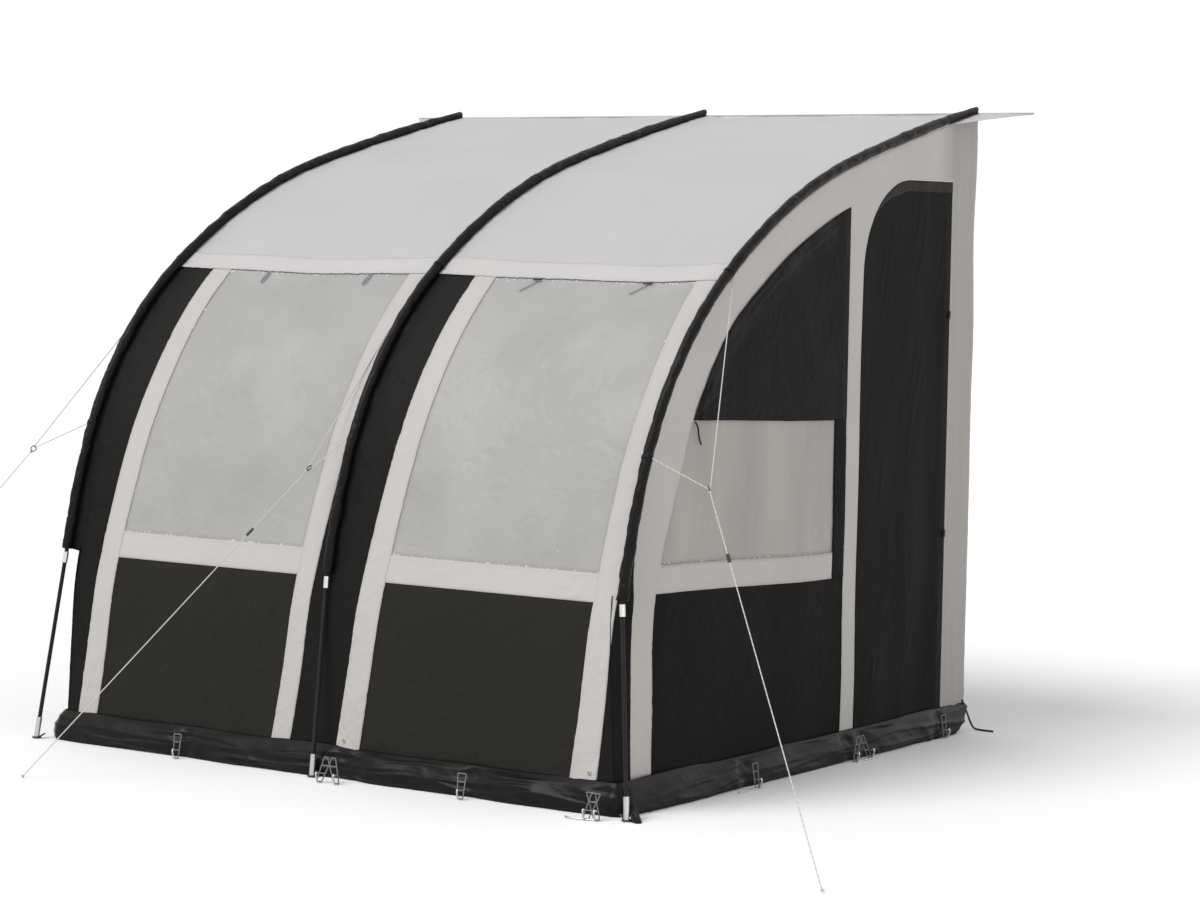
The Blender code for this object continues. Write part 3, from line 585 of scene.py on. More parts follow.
def panel_outline(margin):
    """The black lower panel, moved out by a margin."""
    rear = WINDOW_REAR + margin
    line = strip_line(WALL_BOTTOM, rear, margin)
    high = SILL_BOTTOM + margin
    inner = [point for point in line if point[1] < high]
    run = find_run(high, 1, lambda runs: arch_strip(runs) - margin)
    y, z = arch_point(run, arch_strip(run) - margin)
    return inner + [(y, z), (rear, high), (rear, WALL_BOTTOM)]


def frame_outline():
    """The pale frame of a side wall: strip along the arch, sill, post, top and rear column."""
    outline = panel_outline(0.0)
    outline += door_outline(WALL_BOTTOM, 0.0)
    outline += [(REAR, WALL_BOTTOM)]
    return outline + arch_part(ARCH_LENGTH, BOTTOM_RUN, corner_back)


def inside(outlines, y, z):
    """Whether points lie in the first closed outline and in none of the others."""
    result = np.zeros(y.shape, bool)
    for outline in outlines:
        for (y1, z1), (y2, z2) in zip(outline, np.roll(outline, -1, axis=0)):
            if z1 != z2:
                result ^= ((z1 > z) != (z2 > z)) & (y < (y2 - y1) * (z - z1) / (z2 - z1) + y1)
    return result


def outline_length(line):
    """The length of a closed outline."""
    return float(np.linalg.norm(np.roll(line, -1, axis=0) - line, axis=1).sum())


def edge_marks(points, outlines):
    """The distance from each point to the nearest outline, and the distance along that outline."""
    marks = np.full((len(points), 2), 9.0)
    for outline in outlines:
        ends = np.roll(outline, -1, axis=0)
        lengths = np.linalg.norm(ends - outline, axis=1)
        starts = np.concatenate([[0], np.cumsum(lengths)[:-1]])
        for first, second, length, start in zip(outline, ends, lengths, starts):
            arm = points - first
            share = np.clip(arm @ (second - first) / length**2, 0, 1)
            away = np.linalg.norm(arm - share[:, None] * (second - first), axis=1)
            nearer = away < marks[:, 0]
            marks[nearer, 0] = away[nearer]
            marks[nearer, 1] = start + share[nearer] * length
    return marks


def fill(outlines, step=SIDE_STEP):
    """Triangles that fill the first outline round the others, with their edge marks."""
    outlines = [dense(outline, step) for outline in outlines]
    low, high = outlines[0].min(axis=0), outlines[0].max(axis=0)
    y, z = np.meshgrid(np.arange(low[0], high[0], step), np.arange(low[1], high[1], step * LATTICE_RISE))
    y += (np.arange(len(y)) % 2)[:, None] * step / 2
    keep = inside(outlines, y, z)
    lattice = rows(y[keep], z[keep])
    lattice = lattice[edge_marks(lattice, outlines)[:, 0] > step * LATTICE_GAP]
    points = [*map(tuple, lattice)]
    edges = []
    for outline in outlines:
        first = len(points)
        count = len(outline)
        points.extend(map(tuple, outline))
        edges.extend((first + i, first + (i + 1) % count) for i in range(count))
    found = delaunay_2d_cdt([Vector(point) for point in points], edges, [], 0, 1e-7)
    points = np.array([tuple(point) for point in found[0]])
    faces = np.array(found[2])
    return points, faces[inside(outlines, *points[faces].mean(axis=1).T)], edge_marks(points, outlines)


def side_piece(
    name, outlines, material, side, node=None, body="shell", out=0.0, depth=CLOTH, relief=None
):
    """A cloth in a side wall, filled once and turned over for the other side."""
    if name not in FILLED:
        FILLED[name] = fill(outlines)
    flat, faces, marks = FILLED[name]
    y, z = flat.T
    height = side_relief(y, z) + out
    slant = SILL_SLANT * (1 - 2 * smooth(y, 0.25, WINDOW_REAR)) * (1 - smooth(y, WINDOW_REAR, DOOR_FRONT))
    slant = slant * smooth(z, 0.25, SILL_BOTTOM) * (1 - smooth(z, FLAP_BOTTOM, 1.8))
    hang = z + slant
    if relief:
        height = height + relief(y, z)
    sign = SIDES[side]
    points = rows(sign * (BAY + height), y + SHIFT_Y, hang)
    area = flat_area(rows(0, y, z), faces)
    turned = faces if sign > 0 else faces[:, ::-1]
    title = f"{name}_{side}_sheet" if node else f"{name}_{side}"
    item = make_cloth(title, points, turned, material, marks, flat, depth, body)
    size = (float(np.ptp(y)), float(np.ptp(z)))
    if area < STRIP_SHARE * size[0] * size[1]:
        half = sum(outline_length(dense(line)) for line in outlines) / 2
        size = (area / half, half)
    declare_sheet(node)


FILLED = {}


# Materials


def scaled(colour, factor):
    """A darker or lighter colour."""
    return tuple(value * factor for value in colour)


class Tree:
    """The nodes of a material or of the world, with short calls that add to them."""

    def __init__(self, owner):
        owner.use_nodes = True
        self.owner = owner
        self.nodes, self.links = owner.node_tree.nodes, owner.node_tree.links

    def put(self, socket, value):
        """Link another node's socket, or set a number, a grey, a colour or a vector."""
        if isinstance(value, bpy.types.NodeSocket):
            self.links.new(value, socket)
        elif socket.type == "RGBA":
            socket.default_value = (*(value if isinstance(value, tuple) else (value,) * 3), 1.0)
        else:
            socket.default_value = value

    def add(self, kind, inputs, **settings):
        """The outputs of a node with settings, and with values or links for its inputs."""
        node = self.nodes.new(f"ShaderNode{kind}")
        for key, value in settings.items():
            setattr(node, key, value)
        for key, value in inputs.items():
            self.put(node.inputs[key], value)
        return node.outputs

    def spot(self):
        """The place on the object."""
        return self.add("TexCoord", {})["Object"]

    def split(self, vector):
        """A vector's three parts."""
        return self.add("SeparateXYZ", {0: vector})

    def layer(self, name):
        """The parts of a mesh's own marks."""
        return self.split(self.add("UVMap", {}, uv_map=name)[0])

    def maths(self, operation, *values):
        """A math node over sockets or numbers."""
        return self.add("Math", dict(enumerate(values)), operation=operation)[0]

    def noise(self, coords, scale, detail=3.0, roughness=0.5):
        """A noise texture's value on given coordinates."""
        inputs = {"Vector": coords, "Scale": scale, "Detail": detail, "Roughness": roughness}
        return self.add("TexNoise", inputs)["Fac"]

    def ridge(self, value):
        """How far a noise value lies from its middle."""
        return self.maths("ABSOLUTE", self.maths("SUBTRACT", value, 0.5))

    def fade(self, value, reach, slope):
        """Falls at a slope to 0, where a value comes to its reach."""
        return self.maths("MAXIMUM", self.maths("MULTIPLY", self.maths("SUBTRACT", reach, value), slope), 0.0)

    def mix(self, factor, a, b):
        """A colour mixed from two."""
        return self.add("Mix", {0: factor, 6: a, 7: b}, data_type="RGBA")[2]

    def bump(self, height, strength, distance, *below):
        """A bumped normal, over another one if it is given."""
        inputs = {"Height": height, "Strength": strength, "Distance": distance}
        return self.add("Bump", inputs | dict(zip(("Normal",), below)))[0]

    def paint(self, inputs):
        """Set the shader's inputs by name and hand over the material."""
        for name, value in inputs.items():
            self.put(self.nodes["Principled BSDF"].inputs[name], value)
        return self.owner


def new_tree(name, slot_name):
    """The tree of a new material with its record slot."""
    tree = Tree(bpy.data.materials.new(name))
    tree.owner["slot"] = slot_name
    return tree


def fold_highlights(tree, away, along, length):
    """Painted highlights along fold lines: lighter lines that follow a cloth's edge over its first length and
    fade away from it.
    """
    across = {0: tree.maths("MULTIPLY", away, FOLD_HIGHLIGHT_ACROSS), 1: tree.maths("MULTIPLY", along, FOLD_HIGHLIGHT_ALONG)}
    level = tree.noise(tree.add("CombineXYZ", across)[0], 1.0, 2.0)
    line = tree.fade(tree.ridge(level), 1 / FOLD_HIGHLIGHT_SHARPNESS, FOLD_HIGHLIGHT_SHARPNESS)
    line = tree.maths("MULTIPLY", line, tree.fade(away, FOLD_HIGHLIGHT_REACH, 1 / FOLD_HIGHLIGHT_REACH))
    return tree.maths("MULTIPLY", line, tree.maths("LESS_THAN", along, length))


def cloth_material(
    name, slot_name, colour, shade, roughness, sheen, thread, crumple, gloss=0.16, rear_shade=None, folds=None
):
    """Woven coated cloth: weave, stitched hems, soft stains and small creases, with painted shade over a span
    of y and painted highlights along fold lines where these are given.
    """
    tree = new_tree(name, slot_name)
    coords = tree.spot()
    away, along = tree.layer("edge")[:2]
    stain = tree.noise(coords, 2.2, 4.0, 0.6)
    share = tree.maths("MULTIPLY_ADD", stain, 0.8, tree.maths("MULTIPLY", tree.noise(coords, 38.0), 0.3))
    base = tree.mix(share, colour, shade)
    # Painted shade: over a span of the object's y the colour darkens to a darker copy of the shade colour.
    if rear_shade:
        first, last, level = rear_shade
        inputs = {"Value": tree.split(coords)[1], "From Min": first, "From Max": last}
        rear_shade_share = tree.add("MapRange", inputs, interpolation_type="SMOOTHSTEP")[0]
        base = tree.mix(rear_shade_share, base, scaled(shade, level))
    # Painted highlight: lighter lines along the folds near the cloth's edge, where the folds catch the light.
    if folds:
        length, level = folds
        base = tree.mix(fold_highlights(tree, away, along, length), base, level)
    dash = tree.maths("FRACT", tree.maths("DIVIDE", along, STITCH_PITCH))
    rows = [tree.maths("COMPARE", away, row, STITCH_WIDTH) for row in STITCH_ROWS]
    stitch = tree.maths("MULTIPLY", tree.maths("ADD", *rows), tree.maths("LESS_THAN", dash, STITCH_SHARE))
    hem = tree.maths("LESS_THAN", away, HEM)
    base = tree.mix(tree.maths("MULTIPLY", hem, 0.35), tree.mix(stitch, base, thread), scaled(colour, 0.93))
    pace = 2 * math.pi / WEAVE_PITCH
    warp, weft = (tree.maths("SINE", tree.maths("MULTIPLY", part, pace)) for part in tree.layer("cloth")[:2])
    slant = tree.add("Mapping", {"Vector": coords, "Rotation": CRUMPLE_TURN, "Scale": CRUMPLE_STRETCH})[0]
    small, broad = tree.noise(slant, 26.0, 5.0, 0.55), tree.noise(slant, 8.0, 4.0, 0.5)
    creased = tree.maths("MULTIPLY_ADD", tree.ridge(broad), 3.0, tree.ridge(small))
    seam = tree.maths("SUBTRACT", tree.maths("MULTIPLY", hem, 0.7), stitch)
    normal = tree.bump(tree.maths("MULTIPLY", warp, weft), 0.12, WEAVE_DEPTH)
    normal = tree.bump(creased, crumple, CRUMPLE_DEPTH, normal)
    return tree.paint({
        "Base Color": base,
        "Roughness": tree.maths("MULTIPLY_ADD", stain, 0.15, roughness - 0.08),
        "Specular IOR Level": gloss,
        "Sheen Weight": sheen,
        "Sheen Roughness": 0.5,
        "Normal": tree.bump(seam, 0.6, SEAM_DEPTH, normal),
    })


def film_material(name, slot_name, colour, shade, streak, levels):
    """Soft window film: mottled, satin, with faint ripples, and glints near the levels of its seen edges."""
    tree = new_tree(name, slot_name)
    coords = tree.spot()
    broad = tree.noise(tree.add("Mapping", {"Vector": coords, "Scale": (1.0, 1.0, streak)})[0], 3.1, 5.0, 0.55)
    base = tree.mix(tree.maths("MULTIPLY_ADD", broad, 2.4, -0.7), colour, shade)
    away, height = tree.layer("edge")[0], tree.layer("cloth")[1]
    glint = tree.maths("ADD", tree.noise(coords, 95.0, 3.0, 0.6), tree.fade(away, GLINT_REACH, 6.0))
    for level, slope in levels:
        apart = tree.maths("ABSOLUTE", tree.maths("SUBTRACT", height, level))
        glint = tree.maths("ADD", glint, tree.fade(apart, GLINT_BAND, slope))
    glint = tree.maths("GREATER_THAN", glint, GLINT_LEVEL)
    hem = tree.maths("MULTIPLY", tree.maths("LESS_THAN", away, FILM_HEM), 0.3)
    base = tree.mix(hem, base, scaled(shade, 0.86))
    return tree.paint({
        "Base Color": tree.mix(tree.maths("MULTIPLY", glint, 0.85), base, GLINT_GREY),
        "Roughness": tree.maths("MULTIPLY_ADD", tree.noise(coords, 60.0), 0.14, 0.35),
        "Specular IOR Level": 0.25,
        "Normal": tree.bump(tree.noise(coords, 9.0, 6.0, 0.6), 0.16, RIPPLE_DEPTH),
    })


def vinyl_material(name, slot_name, colour, shade):
    """Black skirt vinyl: glossy, crumpled, dusty in places."""
    tree = new_tree(name, slot_name)
    coords = tree.spot()
    dust = tree.noise(coords, 4.0, 5.0, 0.6)
    return tree.paint({
        "Base Color": tree.mix(tree.maths("MULTIPLY_ADD", dust, 2.0, -0.6), colour, shade),
        "Roughness": tree.maths("MULTIPLY_ADD", dust, 0.25, 0.22),
        "Specular IOR Level": 0.14,
        "Normal": tree.bump(tree.ridge(tree.noise(coords, 17.0, 5.0, 0.5)), 0.15, VINYL_DEPTH),
    })


def hard_material(name, slot_name, level, roughness, metallic, gloss=0.5):
    """Metal or plastic with fine grain and small scuffs. The level is a grey or a colour."""
    tree = new_tree(name, slot_name)
    colour = level if isinstance(level, tuple) else (level,) * 3
    scuff = tree.noise(tree.spot(), 80.0, 4.0, 0.6)
    return tree.paint({
        "Base Color": tree.mix(scuff, colour, scaled(colour, 0.75)),
        "Roughness": tree.maths("MULTIPLY_ADD", scuff, 0.25, roughness - 0.1),
        "Metallic": metallic,
        "Specular IOR Level": gloss,
        "Normal": tree.bump(scuff, 0.1, GRAIN_DEPTH),
    })


def cord_material(name, colour, shade, gloss=0.5):
    """Braided cord."""
    tree = new_tree(name, "cord")
    inputs = {"Vector": tree.spot(), "Scale": 45.0}
    braid = tree.add("TexWave", inputs, wave_type="BANDS", bands_direction="DIAGONAL")["Fac"]
    return tree.paint({
        "Base Color": tree.mix(braid, shade, colour),
        "Roughness": 0.7,
        "Specular IOR Level": gloss,
        "Normal": tree.bump(braid, 0.5, BRAID_DEPTH),
    })


ROOF = cloth_material(
    "roof cloth", "roof_cloth", (0.515, 0.513, 0.516), (0.445, 0.443, 0.447), 0.62, 0.1, 0.4, 0.16,
)
BAND = cloth_material(
    "roof band", "roof_cloth", (0.545, 0.537, 0.532), (0.50, 0.49, 0.485), 0.66, 0.1, 0.42, 0.14,
)
PALE = cloth_material(
    "pale cloth", "pale_cloth", (0.535, 0.515, 0.50), (0.465, 0.445, 0.43), 0.72, 0.1, (0.36, 0.35, 0.34), 0.75,
)
# The side cloth has painted shade towards the rear: the rear column is darkened, as it turns away from the
# light.
BEIGE = cloth_material(
    "side cloth", "pale_cloth", (0.53, 0.505, 0.485), (0.44, 0.42, 0.40), 0.72, 0.1, (0.34, 0.33, 0.31), 0.75,
    rear_shade=(DOOR_REAR + SHIFT_Y - 0.15, DOOR_REAR + SHIFT_Y + 0.02, 0.84),
)
BLACK = cloth_material(
    "black cloth", "black_cloth", (0.0155, 0.015, 0.014), (0.022, 0.021, 0.0195), 0.6, 0.0, 0.04,
    1.0, 0.08,
)
BAND_BLACK = cloth_material(
    "band black cloth", "black_cloth", (0.0068, 0.0066, 0.0063), (0.0120, 0.0116, 0.0110), 0.55, 0.0,
    0.03, 1.0, 0.07,
)
# Painted shade: the side walls' black cloth, which the window cover shares, is a darker copy of the front
# panels' black cloth, so that the sides look as dark as in shade.
SHADED_BLACK = ((0.0060, 0.0058, 0.0056), (0.0095, 0.0092, 0.0088), 0.6, 0.0, 0.03)
SIDE_BLACK = cloth_material("side black cloth", "black_cloth", *SHADED_BLACK, 0.40, 0.05)
# The window cover gets painted fold highlights, grey 0.026, near its edge.
COVER = cloth_material("window cover", "black_cloth", *SHADED_BLACK, 0.55, 0.07, folds=(FLAP_FOLD_HIGHLIGHT_LENGTH, 0.026))
SLEEVE = cloth_material(
    "sleeve cloth", "sleeve_cloth", (0.0030, 0.0030, 0.0030), (0.0055, 0.0054, 0.0052), 0.40, 0.0,
    0.012, 0.8, 0.13,
)
FACING = cloth_material(
    "door facing", "black_cloth", (0.0105, 0.0103, 0.0100), (0.020, 0.0196, 0.019), 0.5, 0.0,
    0.04, 0.8, 0.10,
)
GREY_FILM = film_material(
    "front film", "window_film", (0.385, 0.382, 0.378), (0.325, 0.322, 0.318), 1.0,
    ((SILL_HIGH_RUN, 3.5), (SEAM_RUN - 2 * SEAM_LAP, 9.0)),
)
SIDE_FILM = film_material(
    "side film", "window_film", (0.40, 0.39, 0.362), (0.29, 0.28, 0.258), 0.25, ((SILL_TOP, 3.5),),
)
VINYL = vinyl_material("skirt vinyl", "skirt_vinyl", (0.0035, 0.0033, 0.003), (0.0085, 0.0073, 0.0063))
BEAD = hard_material("bead", "roof_cloth", (0.55, 0.55, 0.54), 0.5, 0.0)
STEEL = hard_material("steel", "steel", (0.62, 0.61, 0.60), 0.30, 1.0)
DARK_STEEL = hard_material("dark steel", "steel", 0.10, 0.35, 1.0)
ALUMINIUM = hard_material("aluminium", "aluminium", (0.78, 0.78, 0.77), 0.28, 1.0)
GLASS_FIBRE = hard_material("glass fibre", "glass_fibre", 0.006, 0.40, 0.0, 0.25)
PLASTIC = hard_material("runner plastic", "runner_plastic", 0.022, 0.4, 0.0)
RUBBER = hard_material("grey rubber", "runner_plastic", 0.17, 0.5, 0.0)
BRASS = hard_material("brass", "steel", (0.55, 0.40, 0.20), 0.35, 1.0)
CORD = cord_material("guy cord", (0.66, 0.64, 0.59), (0.44, 0.42, 0.38))
STRAP = cord_material("grey cord", (0.30, 0.30, 0.29), (0.20, 0.20, 0.19))
BLACK_CORD = cord_material("black cord", 0.012, (0.006, 0.006, 0.006), 0.2)


# Camera, light and floor


def add_camera():
    """The photograph's camera."""
    yaw, pitch, roll = (math.radians(angle) for angle in (YAW, PITCH, ROLL))
    data = bpy.data.cameras.new("camera")
    data.sensor_width = SENSOR
    data.lens = FOCAL_PIXELS / PHOTO_WIDTH * SENSOR
    data.clip_end = 200.0
    camera = bpy.data.objects.new("camera", data)
    camera.matrix_world = Matrix.Translation(place(*CAMERA_FROM_FEET))
    for angle, axis in ((yaw, "Z"), (math.pi / 2 - pitch, "X"), (roll, "Z")):
        camera.matrix_world = camera.matrix_world @ Matrix.Rotation(angle, 4, axis)
    bpy.context.scene.collection.objects.link(camera)
    bpy.context.scene.camera = camera


def add_sun(name, towards, strength, spread, colour):
    """A soft distant light that shines in a direction."""
    data = bpy.data.lights.new(name, "SUN")
    data.energy = strength
    data.angle = math.radians(spread)
    data.color = colour
    item = bpy.data.objects.new(name, data)
    item.rotation_euler = Vector(towards).to_track_quat("-Z", "Y").to_euler()
    bpy.context.scene.collection.objects.link(item)
    return item


def add_studio():
    """White surroundings, soft lights and a pale floor."""
    world = bpy.data.worlds.new("studio")
    bpy.context.scene.world = world
    tree = Tree(world)
    rays = tree.add("LightPath", {})
    seen = tree.maths("MAXIMUM", rays["Is Camera Ray"], rays["Is Transmission Ray"])
    seen = tree.maths("MAXIMUM", seen, rays["Is Glossy Ray"])
    colour, strength = tree.nodes["Background"].inputs[:2]
    tree.put(colour, (1.0, 1.0, 1.0))
    tree.put(strength, tree.maths("MULTIPLY_ADD", seen, 0.45, 0.60))
    add_sun("key", (0.32, 0.66, -1.0), 1.85, 32.0, (1.0, 0.995, 0.99))
    add_sun("fill", (-1.0, 0.45, -0.35), 0.30, 50.0, (1.0, 0.99, 0.975))
    mesh = bpy.data.meshes.new("floor")
    corners = [(FLOOR_REACH * a, FLOOR_REACH * b, 0.0) for a, b in ((-1, -1), (1, -1), (1, 1), (-1, 1))]
    mesh.from_pydata(corners, [], [(0, 1, 2, 3)])
    looks = {"Base Color": (0.97, 0.97, 0.97), "Roughness": 0.9, "Specular IOR Level": 0.1}
    mesh.materials.append(new_tree("floor", "").paint(looks))
    floor = bpy.data.objects.new("floor", mesh)
    bpy.context.scene.collection.objects.link(floor)
    floor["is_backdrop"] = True
    bpy.context.scene.view_settings.view_transform = "Standard"


# The front wall and the roof


def make_front():
    """Roof, frames, films, panels and bands of both bays."""
    seam_low, seam_high = SEAM_RUN - SEAM_LAP, SEAM_RUN + SEAM_LAP
    strip = (BOTTOM_RUN, seam_high, PALE)
    for side, x in (("left", -BAY), ("right", 0.0)):
        across = (strip_edge(x, STRIP_A[1], -SEAM_LAP), strip_edge(x, STRIP_B[0], SEAM_LAP))
        trim = (edge_at(x + BAND_INSET), edge_at(x + BAY - BAND_INSET))
        strip_a, strip_b = ([strip_edge(x, offset) for offset in offsets] for offsets in (STRIP_A, STRIP_B))
        roof, film, panel = f"roof_{side}", f"front_window_{side}", f"front_panel_{side}"
        skin_piece(
            roof, edge_at(x), edge_at(x + BAY), seam_low, ARCH_LENGTH, ROOF, roof, 2 * STRIP_LIFT, ROOF_STEP,
        )
        skin_piece(
            f"roof_band_{side}", *trim, seam_low - BAND_LAP, SEAM_RUN + ROOF_BAND, BAND, out=3 * STRIP_LIFT,
        )
        skin_piece(f"front_strip_a_{side}", *strip_a, *strip, f"front_frame_{side}", STRIP_LIFT)
        skin_piece(f"front_strip_b_{side}", *strip_b, *strip, out=STRIP_LIFT)
        skin_piece(f"front_sill_{side}", *across, SILL_LOW_RUN, SILL_HIGH_RUN, PALE, out=STRIP_LIFT / 2)
        skin_piece(
            film, *across, SILL_HIGH_RUN - SEAM_LAP, seam_high, GREY_FILM, film, -FILM_DEPTH, depth=FILM,
        )
        skin_piece(panel, *across, BOTTOM_RUN, SILL_LOW_RUN + SEAM_LAP, BLACK, panel, -FILM_DEPTH)
    bands = {
        "left": (corner_edge(-1), strip_edge(-BAY, STRIP_A[0], SEAM_LAP)),
        "middle": (strip_edge(-BAY, STRIP_B[1], -SEAM_LAP), strip_edge(0.0, STRIP_A[0], SEAM_LAP)),
        "right": (strip_edge(0.0, STRIP_B[1], -SEAM_LAP), corner_edge(1)),
    }
    for side, edges in bands.items():
        name = f"front_band_{side}"
        skin_piece(name, *edges, BOTTOM_RUN, seam_high, BAND_BLACK, name, -STRIP_LIFT / 2)


def make_wings():
    """The cloth wings of the roof beyond the side walls."""
    start = ARCH_LENGTH - WING_RUN
    inner = BAY + WING_GAP

    def reach(run):
        return inner + WING_TIP + (WING_WIDTH - WING_TIP) * (run - start) / WING_RUN

    for side, edges in {
        "left": (lambda run: -reach(run), edge_at(-inner)),
        "right": (edge_at(inner), reach),
    }.items():
        skin_piece(f"roof_wing_{side}", *edges, start, ARCH_LENGTH, ROOF, f"roof_wing_{side}", step=ROOF_STEP)


# The side walls


def flap_folds(y, z):
    """Gathered folds of the window's cover, which fan out from its lower front corner."""
    line = np.array(strip_line(FLAP_BOTTOM, WINDOW_REAR, 0.0))
    corner_y, corner_z = line[0]
    angle = np.arctan2(z - corner_z, y - corner_y)
    away = np.hypot(y - corner_y, z - corner_z)
    fan = np.exp(-away / 0.20) * smooth(away, 0.0, 0.05)
    broad = smooth(away, 0.1, 0.5) * (1 + waves(y / 0.4, z / 0.25, 61))
    run = find_runs(y, z)
    arch_y, arch_z = arch_point(run)
    inward = np.hypot(y - arch_y, z - arch_z) - arch_strip(run)
    slack = 0.6 + 0.4 * waves(run / 0.16, inward / 0.2, 62)
    hem = np.exp(-(((inward - FLAP_HEM * (0.8 + 0.4 * slack)) / 0.009) ** 2)) * slack
    rays = creases(run, inward, 68, 0.05, 0.22, 63, 1.5) * np.exp(-inward / 0.10) * smooth(inward, 0.0, 0.02)
    folds = 0.002 + 0.008 * fan * np.cos(angle * 15) ** 2 + 0.002 * broad + 0.0045 * hem + 0.006 * rays
    return folds * hinge_hold(y, z)


def frame_sink(y, z):
    """The frame lies flat with the wall along the hinge lines."""
    return STRIP_LIFT * (hinge_hold(y, z) - 1)


def border_sink(y, z):
    """The film's border goes from above the sill to below the window's cover."""
    return -2.5 * STRIP_LIFT * smooth(z, SILL_TOP + 0.05, FLAP_BOTTOM - 0.05)


def corner_strip_outline():
    """The black strip that runs round the wall's corner below the sleeve's end."""
    last = CORNER_STRIP_RUNS[-1]

    def inward(run):
        return np.interp(run, CORNER_STRIP_RUNS, CORNER_STRIP)

    def outer(run):
        return np.where(run < SLEEVE_START, SKIN_OUT - CORNER_LAP, corner_back(run))

    return arch_part(find_run(WALL_BOTTOM, 1, inward), last, inward) + arch_part(last, BOTTOM_RUN, outer)


def border_outline():
    """The black border between the film and the post."""
    front = WINDOW_REAR - FILM_BORDER
    line = strip_line(FLAP_BOTTOM, WINDOW_REAR, 0.0)
    high = float(np.interp(front, *zip(*line)))
    top = [point for point in line if point[0] > front]
    return [(front, SILL_BOTTOM), (front, high), *top, (WINDOW_REAR, SILL_BOTTOM)]


def facing_outline():
    """The facing along the door's top and its round corner."""
    margins = (-ZIP_GAP, -DOOR_FACING)
    outer, full = (np.array(door_outline(WALL_BOTTOM, margin)[DOOR_FACING_START:-1]) for margin in margins)
    inner = outer + (full - outer) * np.minimum(1.0, np.arange(1, len(outer) + 1) / 9)[:, None]
    inner[-1, 0] = outer[-1, 0]
    return [*outer, *inner[::-1]]


def make_sides():
    """Frames, films, flaps, lower panels and doors of both side walls."""
    for side in SIDES:
        frame_node, film, panel, flap, door = (
            f"{kind}_{side}" for kind in ("side_frame", "side_window", "side_panel", "side_flap", "door")
        )
        raised = 2 * STRIP_LIFT
        side_piece(
            "side_frame", [frame_outline(), window_outline(SILL_TOP, 0.0)], BEIGE, side, frame_node,
            out=STRIP_LIFT, relief=frame_sink,
        )
        side_piece(
            "side_window", [window_outline(SILL_TOP, SEAM_LAP)], SIDE_FILM, side, film, out=-2 * FILM_DEPTH,
            depth=FILM,
        )
        side_piece("side_panel", [panel_outline(SEAM_LAP)], SIDE_BLACK, side, panel, out=-FILM_DEPTH)
        side_piece("side_corner_strip", [corner_strip_outline()], SIDE_BLACK, side, out=raised)
        side_piece("side_film_border", [border_outline()], SIDE_BLACK, side, out=raised, relief=border_sink)
        side_piece("door_facing", [facing_outline()], FACING, side, body=door, out=STRIP_LIFT)
        side_piece(
            "side_flap", [window_outline(FLAP_BOTTOM, -ZIP_GAP)], COVER, side, flap, flap, STRIP_LIFT,
            relief=flap_folds,
        )
        doorway = door_outline(WALL_BOTTOM, -ZIP_GAP)
        side_piece("door", [doorway], SIDE_BLACK, side, door, door)


# The sleeves


def make_sleeve(name):
    """A cloth sleeve round its pole, sewn to the skin along its foot."""
    x = ARCH_X[name]
    first, last = SLEEVE_START, ARCH_LENGTH - SLEEVE_REAR_MARGIN
    runs = np.linspace(first, last, round((last - first) / SLEEVE_STEP))
    run, turn = np.meshgrid(runs, np.linspace(-1, 1, 33), indexing="ij")
    angle = turn * math.radians(SLEEVE_TURN)
    seed = 70 + round(x * 10)
    ends = 0.7 + 1.0 * np.exp(-(run - first) / 0.30)
    twist = creases(run / 0.040 + angle * 0.55, angle * 0.9, 14, 1.0, 2.6, seed, 1.6)
    other = creases(-run / 0.034 + angle * 0.50, angle * 0.8, 10, 1.0, 2.4, seed + 5, 1.6)
    radius = SLEEVE_RADIUS + ends * (0.0028 * twist - 0.0030 * other)
    radius += 0.0012 * waves(run / 0.13, angle / 2.0, seed + 9)
    radius *= 1 - SLEEVE_TAPER * smooth(run, last - SLEEVE_TAPER_LENGTH, last)
    foot = smooth(np.abs(turn), 0.80, 1.0)
    hem = SLEEVE_HEM + 0.001 * waves(run / 0.06, 0 * run, seed + 11)
    side = radius * np.sin(angle) * (1 - foot) + np.sign(turn) * hem * foot
    out = radius * np.cos(angle)
    lift = np.where(foot > 0, (-SKIN_OUT + STRIP_LIFT) * foot + out * (1 - foot), out)
    y, z = arch_point(run, -lift)
    girth = 2 * math.pi * SLEEVE_RADIUS
    away = np.minimum((1 - np.abs(turn)) * girth / 2, np.minimum(run - first, last - run))
    item = make_cloth(
        f"sleeve_{name}", rows(x + side, y + SHIFT_Y, z), grid_faces(*run.shape)[:, ::-1], SLEEVE,
        rows(away, run), rows(run, turn * girth / 2),
    )
    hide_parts(f"pole_sleeve_{name}")


# The skirt: its section, its cut and the places of its straps on the ground, with the way each one points

STRAP_SPOTS = (
    (-0.645, -0.018, 0.0),
    (0.092, -0.070, 0.032),
    (0.172, -0.070, -0.032),
    (0.697, -0.029, 0.0),
    (1.258, -0.064, 0.034),
    (1.300, -0.058, -0.034),
    (1.391, 0.842, 0.0),
    (1.372, 1.590, 0.050),
    (1.372, 1.705, -0.050),
    (1.362, 2.340, 0.0),
    (-1.391, 0.842, 0.0),
    (-1.372, 1.740, 0.0),
    (-1.362, 2.389, 0.0),
)
SKIRT_OUT = (0.0025, 0.028, 0.050, 0.058, 0.052, 0.015)
SKIRT_UP = (1.08, 0.90, 0.58, 0.26, 0.015, 0.0)
SKIRT_FOLDS = (
    (0.24, 0.006, 0.030, 83),
    (0.38, 0.009, 0.040, 84),
    (0.55, 0.008, 0.035, 87),
    (0.70, 0.006, 0.030, 85),
)
SKIRT_STEP = 0.009
SKIRT_REAR_CUT = 0.16
SKIRT_CORNER = 0.012
